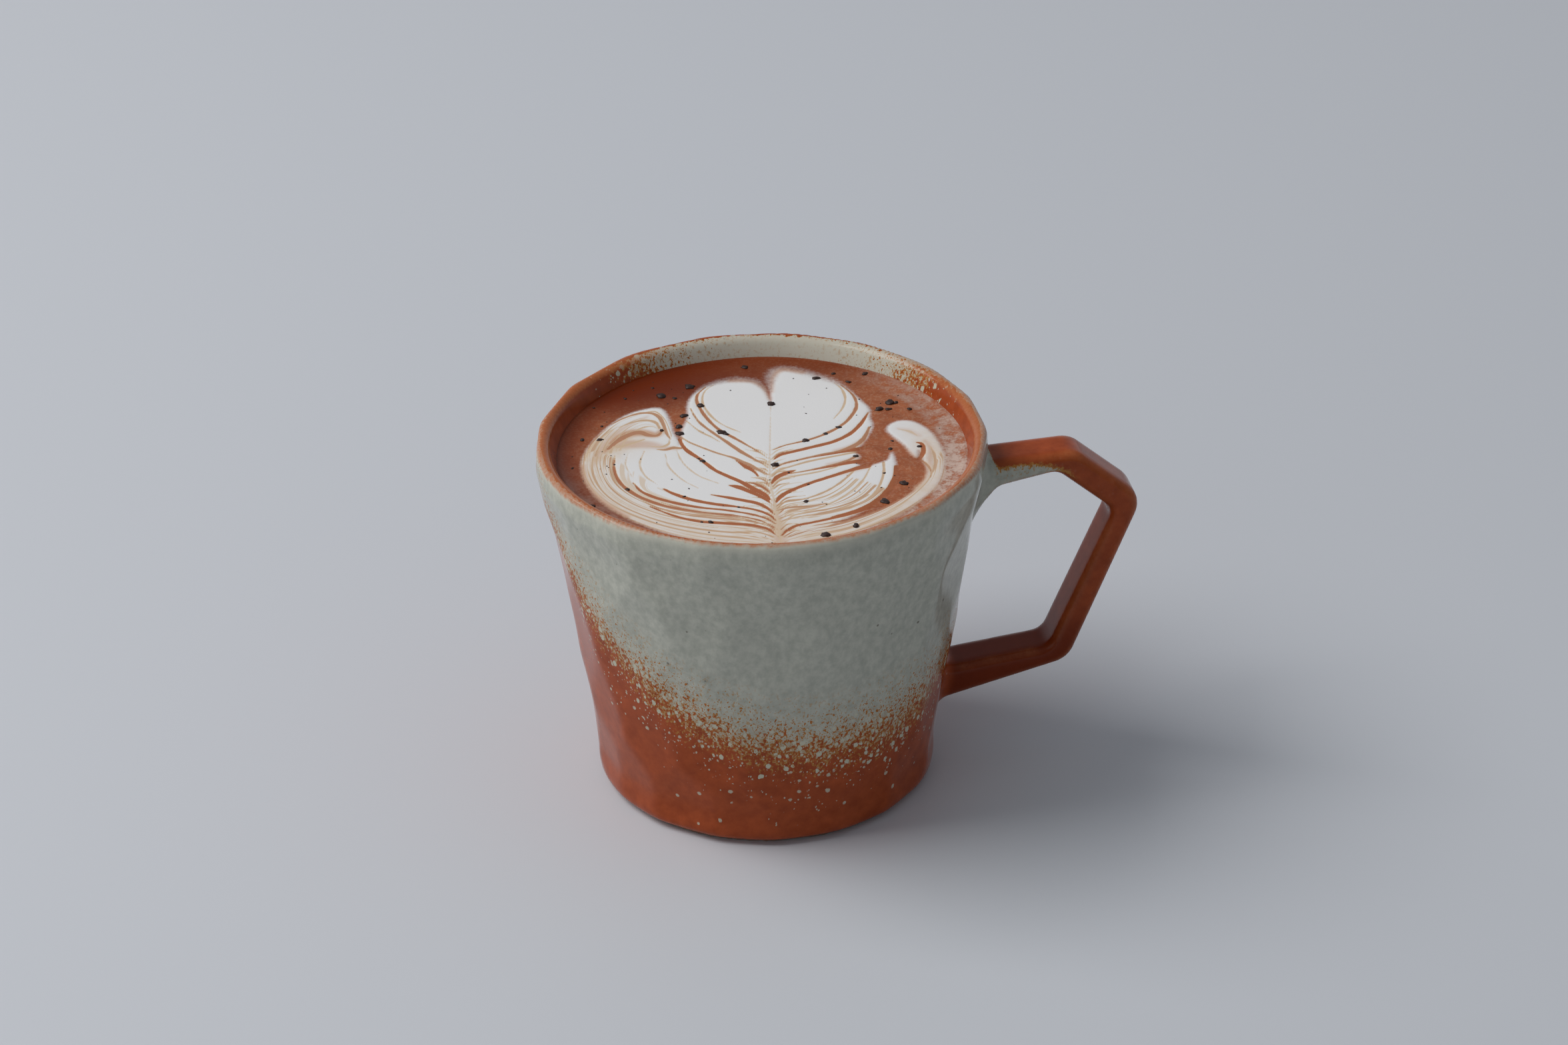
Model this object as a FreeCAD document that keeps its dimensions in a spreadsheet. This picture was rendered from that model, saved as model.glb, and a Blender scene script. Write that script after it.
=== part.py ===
"""A glazed stoneware mug with a hexagonal strap handle, and the mocha that fills it.

Millimetres, +Z up.  The origin is the centre of the foot ring, on the surface the mug stands on.
The handle reaches out along +X, in the XZ plane.  Every driving size is a cell of the sheet "sizes".
"""
import FreeCAD, Part
import os
import Sketcher
from FreeCAD import Placement, Rotation, Vector

SIZES = [
    # alias, value, what it is
    ("mug_height", 75.0, "foot to lip crest"),
    ("shoulder_radius", 45.2, "outside, where the cone ends and the lip band starts"),
    ("base_radius", 33.9, "outside, at the bottom of the cone"),
    ("lip_depth", 4.0, "height of the smooth lip band"),
    ("lip_lean", 0.3, "how far the lip band leans in over its height"),
    ("lip_width", 2.3, "thickness of the lip at its crest"),
    ("lip_round", 1.1, "rounding of both lip edges"),
    ("bevel_depth", 4.2, "height of the bevel inside the lip"),
    ("wall", 4.9, "wall thickness, measured level"),
    ("floor_height", 6.0, "top of the floor above the foot"),
    ("floor_round", 12.0, "inside corner between wall and floor"),
    ("base_round", 1.6, "outside corner between wall and underside"),
    ("foot_inset", 1.9, "foot ring, in from the bottom of the cone"),
    ("foot_width", 4.5, "width of the foot ring"),
    ("foot_height", 0.8, "the ring below the base"),
    ("foot_recess", 2.0, "hollow inside the foot ring"),
    ("facets_around", 17, "facets in a row"),
    ("facet_depth", 0.95, "deepest cut of a facet into the cone"),
    ("facet_hollow", 100.0, "radius of a facet's hollow along the wall"),
    ("facet_foot", 11.0, "middle of the lowest row above the foot"),
    ("facet_head", 9.0, "middle of the highest row below the lip band"),
    ("handle_width", 9.6, "strap, across the handle's plane"),
    ("handle_drop", 8.7, "lip crest down to the top of the handle"),
    ("handle_slope", 0.65, "rise of the top bar from the wall to its end"),
    ("knee_reach", 18.2, "shoulder to the end of the top bar"),
    ("knee_inset", 4.0, "inside corner under the knee, inwards"),
    ("knee_thick", 4.2, "top bar at the knee"),
    ("elbow_reach", 32.1, "shoulder to the outer elbow"),
    ("elbow_drop", 12.0, "top bar down to the outer elbow"),
    ("elbow_inset", 6.1, "inside corner of the elbow, inwards"),
    ("elbow_sink", 2.4, "inside corner of the elbow, down"),
    ("heel_reach", 17.1, "shoulder to the outer heel"),
    ("heel_height", 18.2, "outer heel above the foot"),
    ("heel_inset", 4.2, "inside corner of the heel, inwards"),
    ("heel_thick", 3.5, "inside corner of the heel, up"),
    ("root_height", 11.2, "lowest point of the lower root"),
    ("root_thick", 8.0, "lower root"),
    ("flare_reach", 2.1, "shoulder to where the top bar starts to flare"),
    ("flare_thick", 6.3, "top bar where it starts to flare"),
    ("flare_drop", 15.3, "top bar down to the end of its flare"),
    ("root_bite", 2.2, "how far both roots go into the wall"),
    ("outer_bend", 5.5, "rounding of the strap's outer corners"),
    ("inner_bend", 3.5, "rounding of the strap's inner corners"),
    ("strap_round", 1.8, "rounding of the strap's long edges"),
    ("drink_drop", 4.2, "lip crest down to the drink"),
]

FACET_ROWS = 4
FULL_TURN = 360.0
CUT_PAST = 5.0    # how far a cutting tool runs past what it cuts, mm
NEAR = 1e-4       # two places closer than this are one, mm

# Places that more than one piece uses, written once
CONE_TOP = "(sizes.mug_height - sizes.lip_depth)"
CONE_RUN = f"({CONE_TOP} - sizes.foot_height)"
CONE_FLARE = "(sizes.shoulder_radius - sizes.base_radius)"
CONE_SPREAD = f"({CONE_FLARE} / {CONE_RUN})"
CONE_ANGLE = f"atan({CONE_SPREAD})"
BEVEL_FOOT = "(sizes.mug_height - sizes.bevel_depth)"
HANDLE_TOP = "(sizes.mug_height - sizes.handle_drop)"
DRINK_LEVEL = "(sizes.mug_height - sizes.drink_drop)"
FACET_PITCH = f"(({CONE_TOP} - sizes.facet_head - sizes.facet_foot) / {FACET_ROWS - 1})"

# A rounding is never more than this share of the wall that it rounds from both sides
MOST_ROUNDING = 0.48
LIP_ROUNDING = f"min(sizes.lip_round; {MOST_ROUNDING} * sizes.lip_width)"
STRAP_ROUNDING = f"min(sizes.strap_round; {MOST_ROUNDING} * min(sizes.knee_thick; sizes.handle_width))"


def outside_at(height):
    """The cone's outside radius at a height."""
    return f"(sizes.base_radius + ({height} - sizes.foot_height) * {CONE_SPREAD})"


def inside_at(height):
    """The inside radius at a height below the bevel."""
    return f"({outside_at(height)} - sizes.wall)"


def new_sheet(doc):
    """The spreadsheet of driving sizes."""
    sheet = doc.addObject("Spreadsheet::Sheet", "sizes")
    for row, (alias, value, note) in enumerate(SIZES, start=1):
        sheet.set(f"A{row}", alias)
        sheet.set(f"B{row}", str(value))
        sheet.set(f"C{row}", note)
        sheet.setAlias(f"B{row}", alias)
    doc.recompute()
    return sheet


def new_body(doc, name):
    body = doc.addObject("PartDesign::Body", name)
    body.Label = name
    body.Placement = Placement()
    return body


def origin_feature(body, role):
    """The body's own origin plane or axis with this role."""
    return next(f for f in body.Origin.OriginFeatures if f.Role == role)


def upright_sketch(body, name):
    """A sketch in the body's XZ plane: its x is the model's X, its y is the model's Z."""
    sketch = body.newObject("Sketcher::SketchObject", name)
    sketch.AttachmentSupport = [(origin_feature(body, "XZ_Plane"), "")]
    sketch.MapMode = "FlatFace"
    return sketch


def number(sketch, expression):
    """What an expression over the sheet comes to."""
    value = sketch.evalExpression(expression)
    return float(getattr(value, "Value", value))


def pin_point(sketch, line, end, across, up):
    """Tie one end of a line to two expressions; a zero ties it to the axis itself."""
    for expression, kind, axis in ((across, "DistanceX", -2), (up, "DistanceY", -1)):
        if expression == "0":
            sketch.addConstraint(Sketcher.Constraint("PointOnObject", line, end, axis))
            continue
        value = number(sketch, expression)
        index = sketch.addConstraint(Sketcher.Constraint(kind, -1, 1, line, end, value))
        sketch.setExpression(f"Constraints[{index}]", expression)


def closed_outline(sketch, corners):
    """A closed outline of straight lines through corners, each a pair of expressions."""
    places = [Vector(number(sketch, across), number(sketch, up), 0) for across, up in corners]
    for start, stop in zip(places, places[1:] + places[:1]):
        sketch.addGeometry(Part.LineSegment(start, stop), False)
    for line, (across, up) in enumerate(corners):
        following = (line + 1) % len(corners)
        sketch.addConstraint(Sketcher.Constraint("Coincident", line, 2, following, 1))
        pin_point(sketch, line, 1, across, up)


def revolve(body, name, corners):
    """Turn an outline once round the Z axis."""
    sketch = upright_sketch(body, name + "_profile")
    closed_outline(sketch, corners)
    turned = body.newObject("PartDesign::Revolution", name)
    turned.Profile = sketch
    turned.ReferenceAxis = (sketch, ["V_Axis"])
    turned.Angle = FULL_TURN
    body.Document.recompute()
    return turned


def ring_edges(feature, radius, height):
    """Names of a feature's circular edges of one radius at one height."""
    names = []
    for number_, edge in enumerate(feature.Shape.Edges, start=1):
        curve = edge.Curve
        if not isinstance(curve, Part.Circle):
            continue
        if abs(curve.Radius - radius) < NEAR and abs(curve.Center.z - height) < NEAR:
            names.append(f"Edge{number_}")
    return names


def cross_edges(feature, across, up):
    """Names of a feature's straight edges along Y that pass one place of the XZ plane."""
    names = []
    for number_, edge in enumerate(feature.Shape.Edges, start=1):
        ends = [vertex.Point for vertex in edge.Vertexes]
        if len(ends) == 2 and all(
            abs(end.x - across) < NEAR and abs(end.z - up) < NEAR for end in ends
        ):
            names.append(f"Edge{number_}")
    return names


def side_edges(feature, half_width):
    """Names of a feature's edges that lie in its two side planes."""
    names = []
    for number_, edge in enumerate(feature.Shape.Edges, start=1):
        box = edge.BoundBox
        if box.YLength < NEAR and abs(abs(box.YMin) - half_width) < NEAR:
            names.append(f"Edge{number_}")
    return names


def fillet(body, name, base, edges, radius):
    """Round named edges of a feature; the radius is an expression."""
    rounded = body.newObject("PartDesign::Fillet", name)
    rounded.Base = (base, edges)
    rounded.setExpression("Radius", radius)
    body.Document.recompute()
    return rounded


# The hollow of the mug from its floor to its mouth.  The drink is cut from the same outline.
CAVITY = [
    (inside_at("sizes.floor_height"), "sizes.floor_height"),
    (inside_at(BEVEL_FOOT), BEVEL_FOOT),
    ("(sizes.shoulder_radius - sizes.lip_lean - sizes.lip_width)", "sizes.mug_height"),
]


def facet_row(body, row, before):
    """One row of shallow facets: a wide hollow cut across the wall, repeated round the axis."""
    height = f"(sizes.facet_foot + {row} * {FACET_PITCH})"
    reach = "(sizes.facet_hollow - sizes.facet_depth)"
    sketch = upright_sketch(body, f"facet_profile_{row}")
    across = f"{outside_at(height)} + {reach} * cos({CONE_ANGLE})"
    up = f"{height} - {reach} * sin({CONE_ANGLE})"
    centre = Vector(number(sketch, across), number(sketch, up), 0)
    hollow = number(sketch, "sizes.facet_hollow")
    sketch.addGeometry(Part.Circle(centre, Vector(0, 0, 1), hollow), False)
    radius = sketch.addConstraint(Sketcher.Constraint("Radius", 0, hollow))
    sketch.setExpression(f"Constraints[{radius}]", "sizes.facet_hollow")
    pin_point(sketch, 0, 3, across, up)
    # every second row starts half a facet further round, like the courses of a brick wall
    sketch.AttachmentOffset = Placement(Vector(), Rotation(Vector(0, 1, 0), 0))
    if row % 2:
        sketch.setExpression(
            "AttachmentOffset.Rotation.Angle", "180 deg / sizes.facets_around"
        )
    cut = body.newObject("PartDesign::Pocket", f"facet_{row}")
    cut.Profile = sketch
    cut.SideType = "Symmetric"
    cut.setExpression("Length", "sizes.base_radius")
    body.Document.recompute()
    around = body.newObject("PartDesign::PolarPattern", f"facets_{row}")
    around.Originals = [cut]
    around.Axis = (origin_feature(body, "Z_Axis"), [""])
    around.Angle = FULL_TURN
    around.setExpression("Occurrences", "sizes.facets_around")
    body.Tip = around
    body.Document.recompute()
    if around.Shape.Volume >= before.Shape.Volume:
        raise RuntimeError(f"facet row {row} cut nothing")
    return around


def make_wall(doc):
    """The thrown and faceted pot: wall, lip, floor and foot ring, without its handle."""
    body = new_body(doc, "pot")
    foot_outside = "(sizes.base_radius - sizes.foot_inset)"
    foot_inside = f"({foot_outside} - sizes.foot_width)"
    corners = [
        ("0", "sizes.foot_recess"),
        (foot_inside, "sizes.foot_recess"),
        (foot_inside, "0"),
        (foot_outside, "0"),
        (foot_outside, "sizes.foot_height"),
        ("sizes.base_radius", "sizes.foot_height"),
        ("sizes.shoulder_radius", CONE_TOP),
        ("(sizes.shoulder_radius - sizes.lip_lean)", "sizes.mug_height"),
    ]
    pot = revolve(body, "thrown", corners + CAVITY[::-1] + [("0", "sizes.floor_height")])
    top = number(pot, "sizes.mug_height")
    mouth = number(pot, CAVITY[-1][0])
    rim = number(pot, "sizes.shoulder_radius - sizes.lip_lean")
    lip = ring_edges(pot, rim, top) + ring_edges(pot, mouth, top)
    pot = fillet(body, "lip_rounding", pot, lip, LIP_ROUNDING)
    low = number(pot, "sizes.foot_height")
    base = ring_edges(pot, number(pot, "sizes.base_radius"), low)
    pot = fillet(body, "base_rounding", pot, base, "sizes.base_round")
    floor = ring_edges(pot, number(pot, CAVITY[0][0]), number(pot, CAVITY[0][1]))
    pot = fillet(body, "floor_rounding", pot, floor, "sizes.floor_round")
    for row in range(FACET_ROWS):
        pot = facet_row(body, row, pot)
    return body


def make_strap(doc):
    """The handle: a flat strap bent to half a hexagon, with both roots inside the wall."""
    body = new_body(doc, "strap")
    shoulder = "sizes.shoulder_radius"
    elbow_height = f"({HANDLE_TOP} - sizes.elbow_drop)"
    upper_root = f"({HANDLE_TOP} - sizes.handle_slope)"
    flare_end = f"({HANDLE_TOP} - sizes.flare_drop)"
    lower_root_top = "(sizes.root_height + sizes.root_thick)"
    knee = (f"({shoulder} + sizes.knee_reach)", HANDLE_TOP)
    elbow = (f"({shoulder} + sizes.elbow_reach)", elbow_height)
    heel = (f"({shoulder} + sizes.heel_reach)", "sizes.heel_height")
    inner_heel = (f"({heel[0]} - sizes.heel_inset)", f"({heel[1]} + sizes.heel_thick)")
    inner_elbow = (f"({elbow[0]} - sizes.elbow_inset)", f"({elbow[1]} - sizes.elbow_sink)")
    inner_knee = (f"({knee[0]} - sizes.knee_inset)", f"({knee[1]} - sizes.knee_thick)")
    flare = (f"({shoulder} + sizes.flare_reach)", f"({HANDLE_TOP} - sizes.flare_thick)")
    roots = [
        (f"({outside_at(height)} - sizes.root_bite)", height)
        for height in (upper_root, "sizes.root_height", lower_root_top, flare_end)
    ]
    outline = [roots[0], knee, elbow, heel, roots[1]]
    outline += [roots[2], inner_heel, inner_elbow, inner_knee, flare, roots[3]]
    sketch = upright_sketch(body, "strap_outline")
    closed_outline(sketch, outline)
    strap = body.newObject("PartDesign::Pad", "strap_bar")
    strap.Profile = sketch
    strap.SideType = "Symmetric"
    strap.setExpression("Length", "sizes.handle_width")
    doc.recompute()
    bends = (
        ("outer_bends", (knee, elbow, heel), "sizes.outer_bend"),
        ("inner_bends", (inner_heel, inner_elbow, inner_knee, flare), "sizes.inner_bend"),
    )
    for name, bent, radius in bends:
        edges = []
        for across, up in bent:
            edges += cross_edges(strap, number(strap, across), number(strap, up))
        strap = fillet(body, name, strap, edges, radius)
    half_width = number(strap, "sizes.handle_width / 2")
    fillet(body, "long_edges", strap, side_edges(strap, half_width), STRAP_ROUNDING)
    return body


def make_mug(doc):
    """Pot and handle as one piece of fired clay."""
    mug = doc.addObject("Part::Fuse", "mug")
    mug.Label = "mug"
    mug.Base = make_wall(doc)
    mug.Tool = make_strap(doc)
    mug.Placement = Placement()
    doc.recompute()
    return mug


def make_mocha(doc):
    """The drink: the mug's hollow, filled to the drink's level."""
    body = new_body(doc, "mocha")
    corners = [("0", "sizes.floor_height")] + CAVITY + [("0", "sizes.mug_height")]
    drink = revolve(body, "filling", corners)
    floor = ring_edges(drink, number(drink, CAVITY[0][0]), number(drink, CAVITY[0][1]))
    drink = fillet(body, "filling_rounding", drink, floor, "sizes.floor_round")
    past_rim = f"(sizes.shoulder_radius + {CUT_PAST})"
    past_lip = f"(sizes.mug_height + {CUT_PAST})"
    sketch = upright_sketch(body, "air_profile")
    closed_outline(
        sketch,
        [("0", DRINK_LEVEL), (past_rim, DRINK_LEVEL), (past_rim, past_lip), ("0", past_lip)],
    )
    air = body.newObject("PartDesign::Groove", "air")
    air.Profile = sketch
    air.ReferenceAxis = (sketch, ["V_Axis"])
    air.Angle = FULL_TURN
    doc.recompute()
    if air.Shape.Volume >= drink.Shape.Volume:
        raise RuntimeError("the drink was not cut to its level")
    return body


def check(doc, parts):
    """Stop if any object failed to compute or any part is not one valid solid."""
    for thing in doc.Objects:
        if "Invalid" in thing.State or "Error" in thing.State:
            raise RuntimeError(f"{thing.Name} did not compute: {thing.State}")
    for part in parts:
        shape = part.Shape
        if shape.isNull() or not shape.isValid() or len(shape.Solids) != 1:
            raise RuntimeError(f"{part.Label} is not one valid solid")


def main():
    doc = FreeCAD.newDocument("caffe_mocha")
    new_sheet(doc)
    parts = [make_mug(doc), make_mocha(doc)]
    doc.recompute()
    check(doc, parts)
    os.makedirs("parts", exist_ok=True)
    for part in parts:
        part.Shape.exportStep(f"parts/{part.Label}.step")
        box = part.Shape.BoundBox
        print(
            f"{part.Label}: {part.Shape.Volume / 1000:.1f} cm3, "
            f"x {box.XMin:.2f}..{box.XMax:.2f}, y {box.YMin:.2f}..{box.YMax:.2f}, "
            f"z {box.ZMin:.2f}..{box.ZMax:.2f}"
        )


main()
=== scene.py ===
# %% [markdown]
# A mocha in a faceted stoneware mug.
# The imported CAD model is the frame: it says how tall the mug is, where its lip, handle and drink are. This
# lesson dresses it in three pieces: the mug with its two glazes, the drink with its poured foam, and the
# chocolate grains that fell on it. Everything rides on the one body of the model, because nothing on a mug
# moves.

# %% Load the frame
import math
import bpy
import bmesh
import numpy as np
from mathutils import Matrix, Vector


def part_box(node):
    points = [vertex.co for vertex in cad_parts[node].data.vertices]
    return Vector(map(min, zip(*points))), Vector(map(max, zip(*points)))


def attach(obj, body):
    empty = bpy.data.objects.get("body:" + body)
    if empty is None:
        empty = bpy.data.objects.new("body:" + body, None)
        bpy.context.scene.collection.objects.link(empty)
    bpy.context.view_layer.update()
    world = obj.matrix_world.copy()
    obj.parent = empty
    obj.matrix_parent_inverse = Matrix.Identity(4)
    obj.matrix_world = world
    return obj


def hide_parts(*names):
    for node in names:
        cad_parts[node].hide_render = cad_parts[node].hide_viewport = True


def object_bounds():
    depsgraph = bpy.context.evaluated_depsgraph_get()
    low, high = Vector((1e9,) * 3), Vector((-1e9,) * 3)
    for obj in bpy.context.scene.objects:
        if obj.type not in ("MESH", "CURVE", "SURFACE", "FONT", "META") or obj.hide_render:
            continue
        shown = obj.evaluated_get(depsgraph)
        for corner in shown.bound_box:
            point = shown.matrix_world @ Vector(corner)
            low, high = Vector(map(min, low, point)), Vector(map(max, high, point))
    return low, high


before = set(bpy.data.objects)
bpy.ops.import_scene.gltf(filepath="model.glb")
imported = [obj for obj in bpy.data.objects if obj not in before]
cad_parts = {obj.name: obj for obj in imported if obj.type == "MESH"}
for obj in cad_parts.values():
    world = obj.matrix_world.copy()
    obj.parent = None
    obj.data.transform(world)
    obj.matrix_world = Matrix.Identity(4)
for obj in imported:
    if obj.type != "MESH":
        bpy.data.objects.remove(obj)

BODY = "root"
CAD_BOUNDS = [list(corner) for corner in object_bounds()]
print("the CAD model reaches from", CAD_BOUNDS[0], "to", CAD_BOUNDS[1])

# %% [markdown]
# Pottery is measured in millimetres and Blender's unit is the metre. All shapes below are worked out in
# millimetres and scaled once, when their mesh is written. The main places come from the frame's boxes. The
# radii, the handle's corners and the roundings follow the construction's own values to a few hundredths,
# because a box can't tell them.

# %% Main sizes, in millimetres
MM = 0.001
MUG_LOW, MUG_HIGH = (np.array(corner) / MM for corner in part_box("mug"))
DRINK_LOW, DRINK_HIGH = (np.array(corner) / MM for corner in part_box("mocha"))
LIP_HEIGHT = MUG_HIGH[2]
SHOULDER_RADIUS = 45.15
LIP_RADIUS = 44.9
BASE_RADIUS = 33.9
BASE_HEIGHT = 0.8
LIP_BAND = 4.0
LIP_WIDTH = 2.3
WALL = 4.9
FLOOR_HEIGHT = DRINK_LOW[2]
DRINK_LEVEL = DRINK_HIGH[2]
SHOULDER_HEIGHT = LIP_HEIGHT - LIP_BAND
TAPER = (SHOULDER_RADIUS - BASE_RADIUS) / (SHOULDER_HEIGHT - BASE_HEIGHT)
print("lip at", round(LIP_HEIGHT, 2), "drink at", round(DRINK_LEVEL, 2), "taper", round(TAPER, 3))

# %% [markdown]
# The mug is one lump of clay: a thrown cone, cut all over with shallow knife facets, and a strap handle
# whose roots melt into the wall under thick glaze. Modelling that with edge loops is slow work. Here each
# form is a signed distance, a formula that says how far a point is from the surface, negative inside.
# Distances are easy to join with round fillets, and any rough mesh near the surface can be pulled exactly
# onto it.

# %% Ways to join two distances
def round_union(first, second, radius):
    """Both forms, with a fillet where they meet."""
    a = np.maximum(radius - first, 0.0)
    b = np.maximum(radius - second, 0.0)
    return np.maximum(radius, np.minimum(first, second)) - np.hypot(a, b)


def round_common(first, second, radius):
    """Only what both forms hold, with a rounded edge where they meet."""
    a = np.maximum(radius + first, 0.0)
    b = np.maximum(radius + second, 0.0)
    return np.minimum(-radius, np.maximum(first, second)) + np.hypot(a, b)


def smooth_step(low, high, value):
    """0 below low, 1 above high, and an S-curve between."""
    t = np.clip((value - low) / (high - low), 0.0, 1.0)
    return t * t * (3.0 - 2.0 * t)


print("distances ready")

# %% [markdown]
# A knife facet is nearly flat from side to side and slightly hollow from top to bottom. The potter works in
# rows and starts each row half a facet further round, like brickwork, but no cut is quite the same: depth,
# place and slant wander. The surface is the lowest of all cuts at each place. A plain minimum would leave
# knife-sharp ridges, and glaze rounds them, so the cuts are blended with a soft minimum. The wheel's last
# skim takes a hair off the uncut cone too, and the cuts fade out under the lip band and above the foot.

# %% The knife facets
FACET_ROWS = 5
FACETS_AROUND = 17
FACET_FIRST = 7.0
FACET_PITCH = 14.8
GLAZE_SOFTNESS = 0.17
SKIM = 0.05
FADE_ABOVE = 0.55
FADE_BELOW = 0.9


def facet_table(seed=11):
    """Angle, height, depth, hollow, slant and lean of every facet."""
    random = np.random.default_rng(seed)
    rows = []
    for row in range(FACET_ROWS):
        for count in range(FACETS_AROUND):
            angle = (count + 0.5 * (row % 2) + random.uniform(-0.16, 0.16)) * 2 * math.pi / FACETS_AROUND
            height = FACET_FIRST + row * FACET_PITCH + random.uniform(-2.6, 2.6)
            depth = random.uniform(0.85, 1.45)
            hollow = random.uniform(70.0, 150.0)
            slant = random.uniform(-0.035, 0.035)
            lean = random.uniform(-0.02, 0.02)
            rows.append((angle, height, depth, hollow, slant, lean))
    return np.array(rows)


FACETS = facet_table()
print(len(FACETS), "facets")


def cone_radius(height):
    return BASE_RADIUS + (height - BASE_HEIGHT) * TAPER


def faceted_radius(angle, height):
    """Outside radius of the mug where a ray at this angle leaves it."""
    plain = cone_radius(height) - SKIM
    fade = FADE_ABOVE * smooth_step(SHOULDER_HEIGHT - 9.0, SHOULDER_HEIGHT, height)
    fade += FADE_BELOW * smooth_step(8.5, 0.5, height)
    total = np.ones_like(plain)
    for turn, middle, depth, hollow, slant, lean in FACETS:
        away = np.angle(np.exp(1j * (angle - turn)))
        up = height - middle
        across = plain * np.sin(away)
        cut = plain - depth + up * up / (2 * hollow) + slant * up + lean * across
        cut = cut / np.maximum(np.cos(away), 0.3) + fade
        total += np.exp(-np.clip(cut - plain, -3.0, 6.0) / GLAZE_SOFTNESS)
    return plain - GLAZE_SOFTNESS * np.log(total)


# %% [markdown]
# The pot itself: the faceted cone, closed below by a flat base with a soft edge, hollowed by the cavity,
# standing on a low ring. The lip band above the facets leans in a little, and a bevel opens the cavity
# below the lip.

# %% The pot's distance
LIP_ROUND = 1.12
BASE_ROUND = 1.6
BEVEL = 4.2
FOOT_OUTSIDE = BASE_RADIUS - 1.9
FOOT_WIDTH = 4.5
FOOT_RECESS = 2.0
FLOOR_ROUND = 12.0
RING_FILLET = 0.35
RECESS_ROUND = 0.3
BEVEL_ROUND = 1.5
INSIDE_FLARE = (LIP_RADIUS - LIP_WIDTH) - (cone_radius(LIP_HEIGHT - BEVEL) - WALL)


def outside_distance(points):
    """The pot's outer skin and its base, not yet hollow."""
    x, y, z = points.T
    radius = np.hypot(x, y)
    skin = faceted_radius(np.arctan2(y, x), np.clip(z, BASE_HEIGHT, SHOULDER_HEIGHT))
    band = smooth_step(SHOULDER_HEIGHT - 1.0, LIP_HEIGHT, z)
    skin = skin + (LIP_RADIUS - SHOULDER_RADIUS) * band
    side = (radius - skin) / math.hypot(1.0, TAPER)
    pot = round_common(side, BASE_HEIGHT - z, BASE_ROUND)
    ring = np.maximum(np.abs(radius - (FOOT_OUTSIDE - FOOT_WIDTH / 2)) - FOOT_WIDTH / 2, -z)
    ring = np.maximum(ring, z - FOOT_RECESS - 1.0)
    pot = round_union(pot, ring, RING_FILLET)
    recess = np.maximum(radius - (FOOT_OUTSIDE - FOOT_WIDTH), z - FOOT_RECESS)
    return round_common(pot, -recess, RECESS_ROUND)


def cavity_distance(points):
    """The hollow: wall, bevel under the lip, and a round corner at the floor."""
    x, y, z = points.T
    radius = np.hypot(x, y)
    wall = (radius - (cone_radius(z) - WALL)) / math.hypot(1.0, TAPER)
    hollow = round_common(wall, FLOOR_HEIGHT - z, FLOOR_ROUND)
    flare = INSIDE_FLARE / BEVEL
    mouth_wall = cone_radius(LIP_HEIGHT - BEVEL) - WALL + (z - LIP_HEIGHT + BEVEL) * flare
    mouth = (radius - mouth_wall) / math.hypot(1.0, flare)
    mouth = np.maximum(mouth, LIP_HEIGHT - BEVEL - 3.0 - z)
    return round_union(hollow, mouth, BEVEL_ROUND)


print("the bevel under the lip opens by", round(INSIDE_FLARE, 2), "mm")

# %% [markdown]
# The handle is a flat strap bent into half a hexagon. Its outline in the handle's plane is a closed path
# with a rounded bend at each corner. The distance to that outline, joined with the distance to the two side
# planes, gives a strap with round edges.

# %% The strap's outline
HANDLE_WIDTH = 9.6
STRAP_ROUND = 1.85
OUTER_BEND = 5.5
INNER_BEND = 3.5
STRAP_CORNERS = [
    (41.5, 65.65, 0.0), (63.4, 66.3, OUTER_BEND), (77.3, 54.3, OUTER_BEND), (62.3, 18.2, OUTER_BEND),
    (33.4, 11.2, 0.0), (34.6, 19.2, 0.0), (58.1, 21.7, INNER_BEND), (71.2, 51.9, INNER_BEND),
    (59.4, 62.1, INNER_BEND), (47.3, 60.0, INNER_BEND), (39.8, 51.0, 0.0),
]


def bent_outline(corners, steps=7):
    """A closed path with an arc of the given radius at each corner."""
    path = []
    places = np.array([corner[:2] for corner in corners])
    for index, (_, _, radius) in enumerate(corners):
        here = places[index]
        back = places[index - 1] - here
        ahead = places[(index + 1) % len(places)] - here
        back /= np.linalg.norm(back)
        ahead /= np.linalg.norm(ahead)
        if radius == 0.0:
            path.append(here)
            continue
        half = math.acos(np.clip(back @ ahead, -1, 1)) / 2
        middle = here + (back + ahead) / np.linalg.norm(back + ahead) * radius / math.sin(half)
        start = here + back * radius / math.tan(half) - middle
        stop = here + ahead * radius / math.tan(half) - middle
        for t in np.linspace(0.0, 1.0, steps):
            arm = start * (1 - t) + stop * t
            path.append(middle + arm / np.linalg.norm(arm) * radius)
    return np.array(path)


STRAP_PATH = bent_outline(STRAP_CORNERS)
print("the strap's outline has", len(STRAP_PATH), "points")


def outline_distance(across, up, path):
    """Distance to a closed path in a plane, negative inside it."""
    nearest = np.full_like(across, 1e9)
    inside = np.zeros(len(across), bool)
    for (ax, az), (bx, bz) in zip(path, np.roll(path, -1, axis=0)):
        ex, ez = bx - ax, bz - az
        wx, wz = across - ax, up - az
        t = np.clip((wx * ex + wz * ez) / (ex * ex + ez * ez), 0.0, 1.0)
        nearest = np.minimum(nearest, (wx - ex * t) ** 2 + (wz - ez * t) ** 2)
        crosses = (az > up) != (bz > up)
        if bz != az:
            inside ^= crosses & (across < ax + (up - az) * ex / ez)
    distance = np.sqrt(nearest)
    return np.where(inside, -distance, distance)


def strap_distance(points):
    flat = outline_distance(points[:, 0], points[:, 2], STRAP_PATH)
    side = np.abs(points[:, 1]) - HANDLE_WIDTH / 2
    return round_common(flat, side, STRAP_ROUND)


# %% [markdown]
# Pot and strap melt together with a fillet at the roots. The lip is cut level and rounded on both sides.
# The strap's distance is slow to work out, so only the points on its side of the mug are asked for it.

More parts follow.
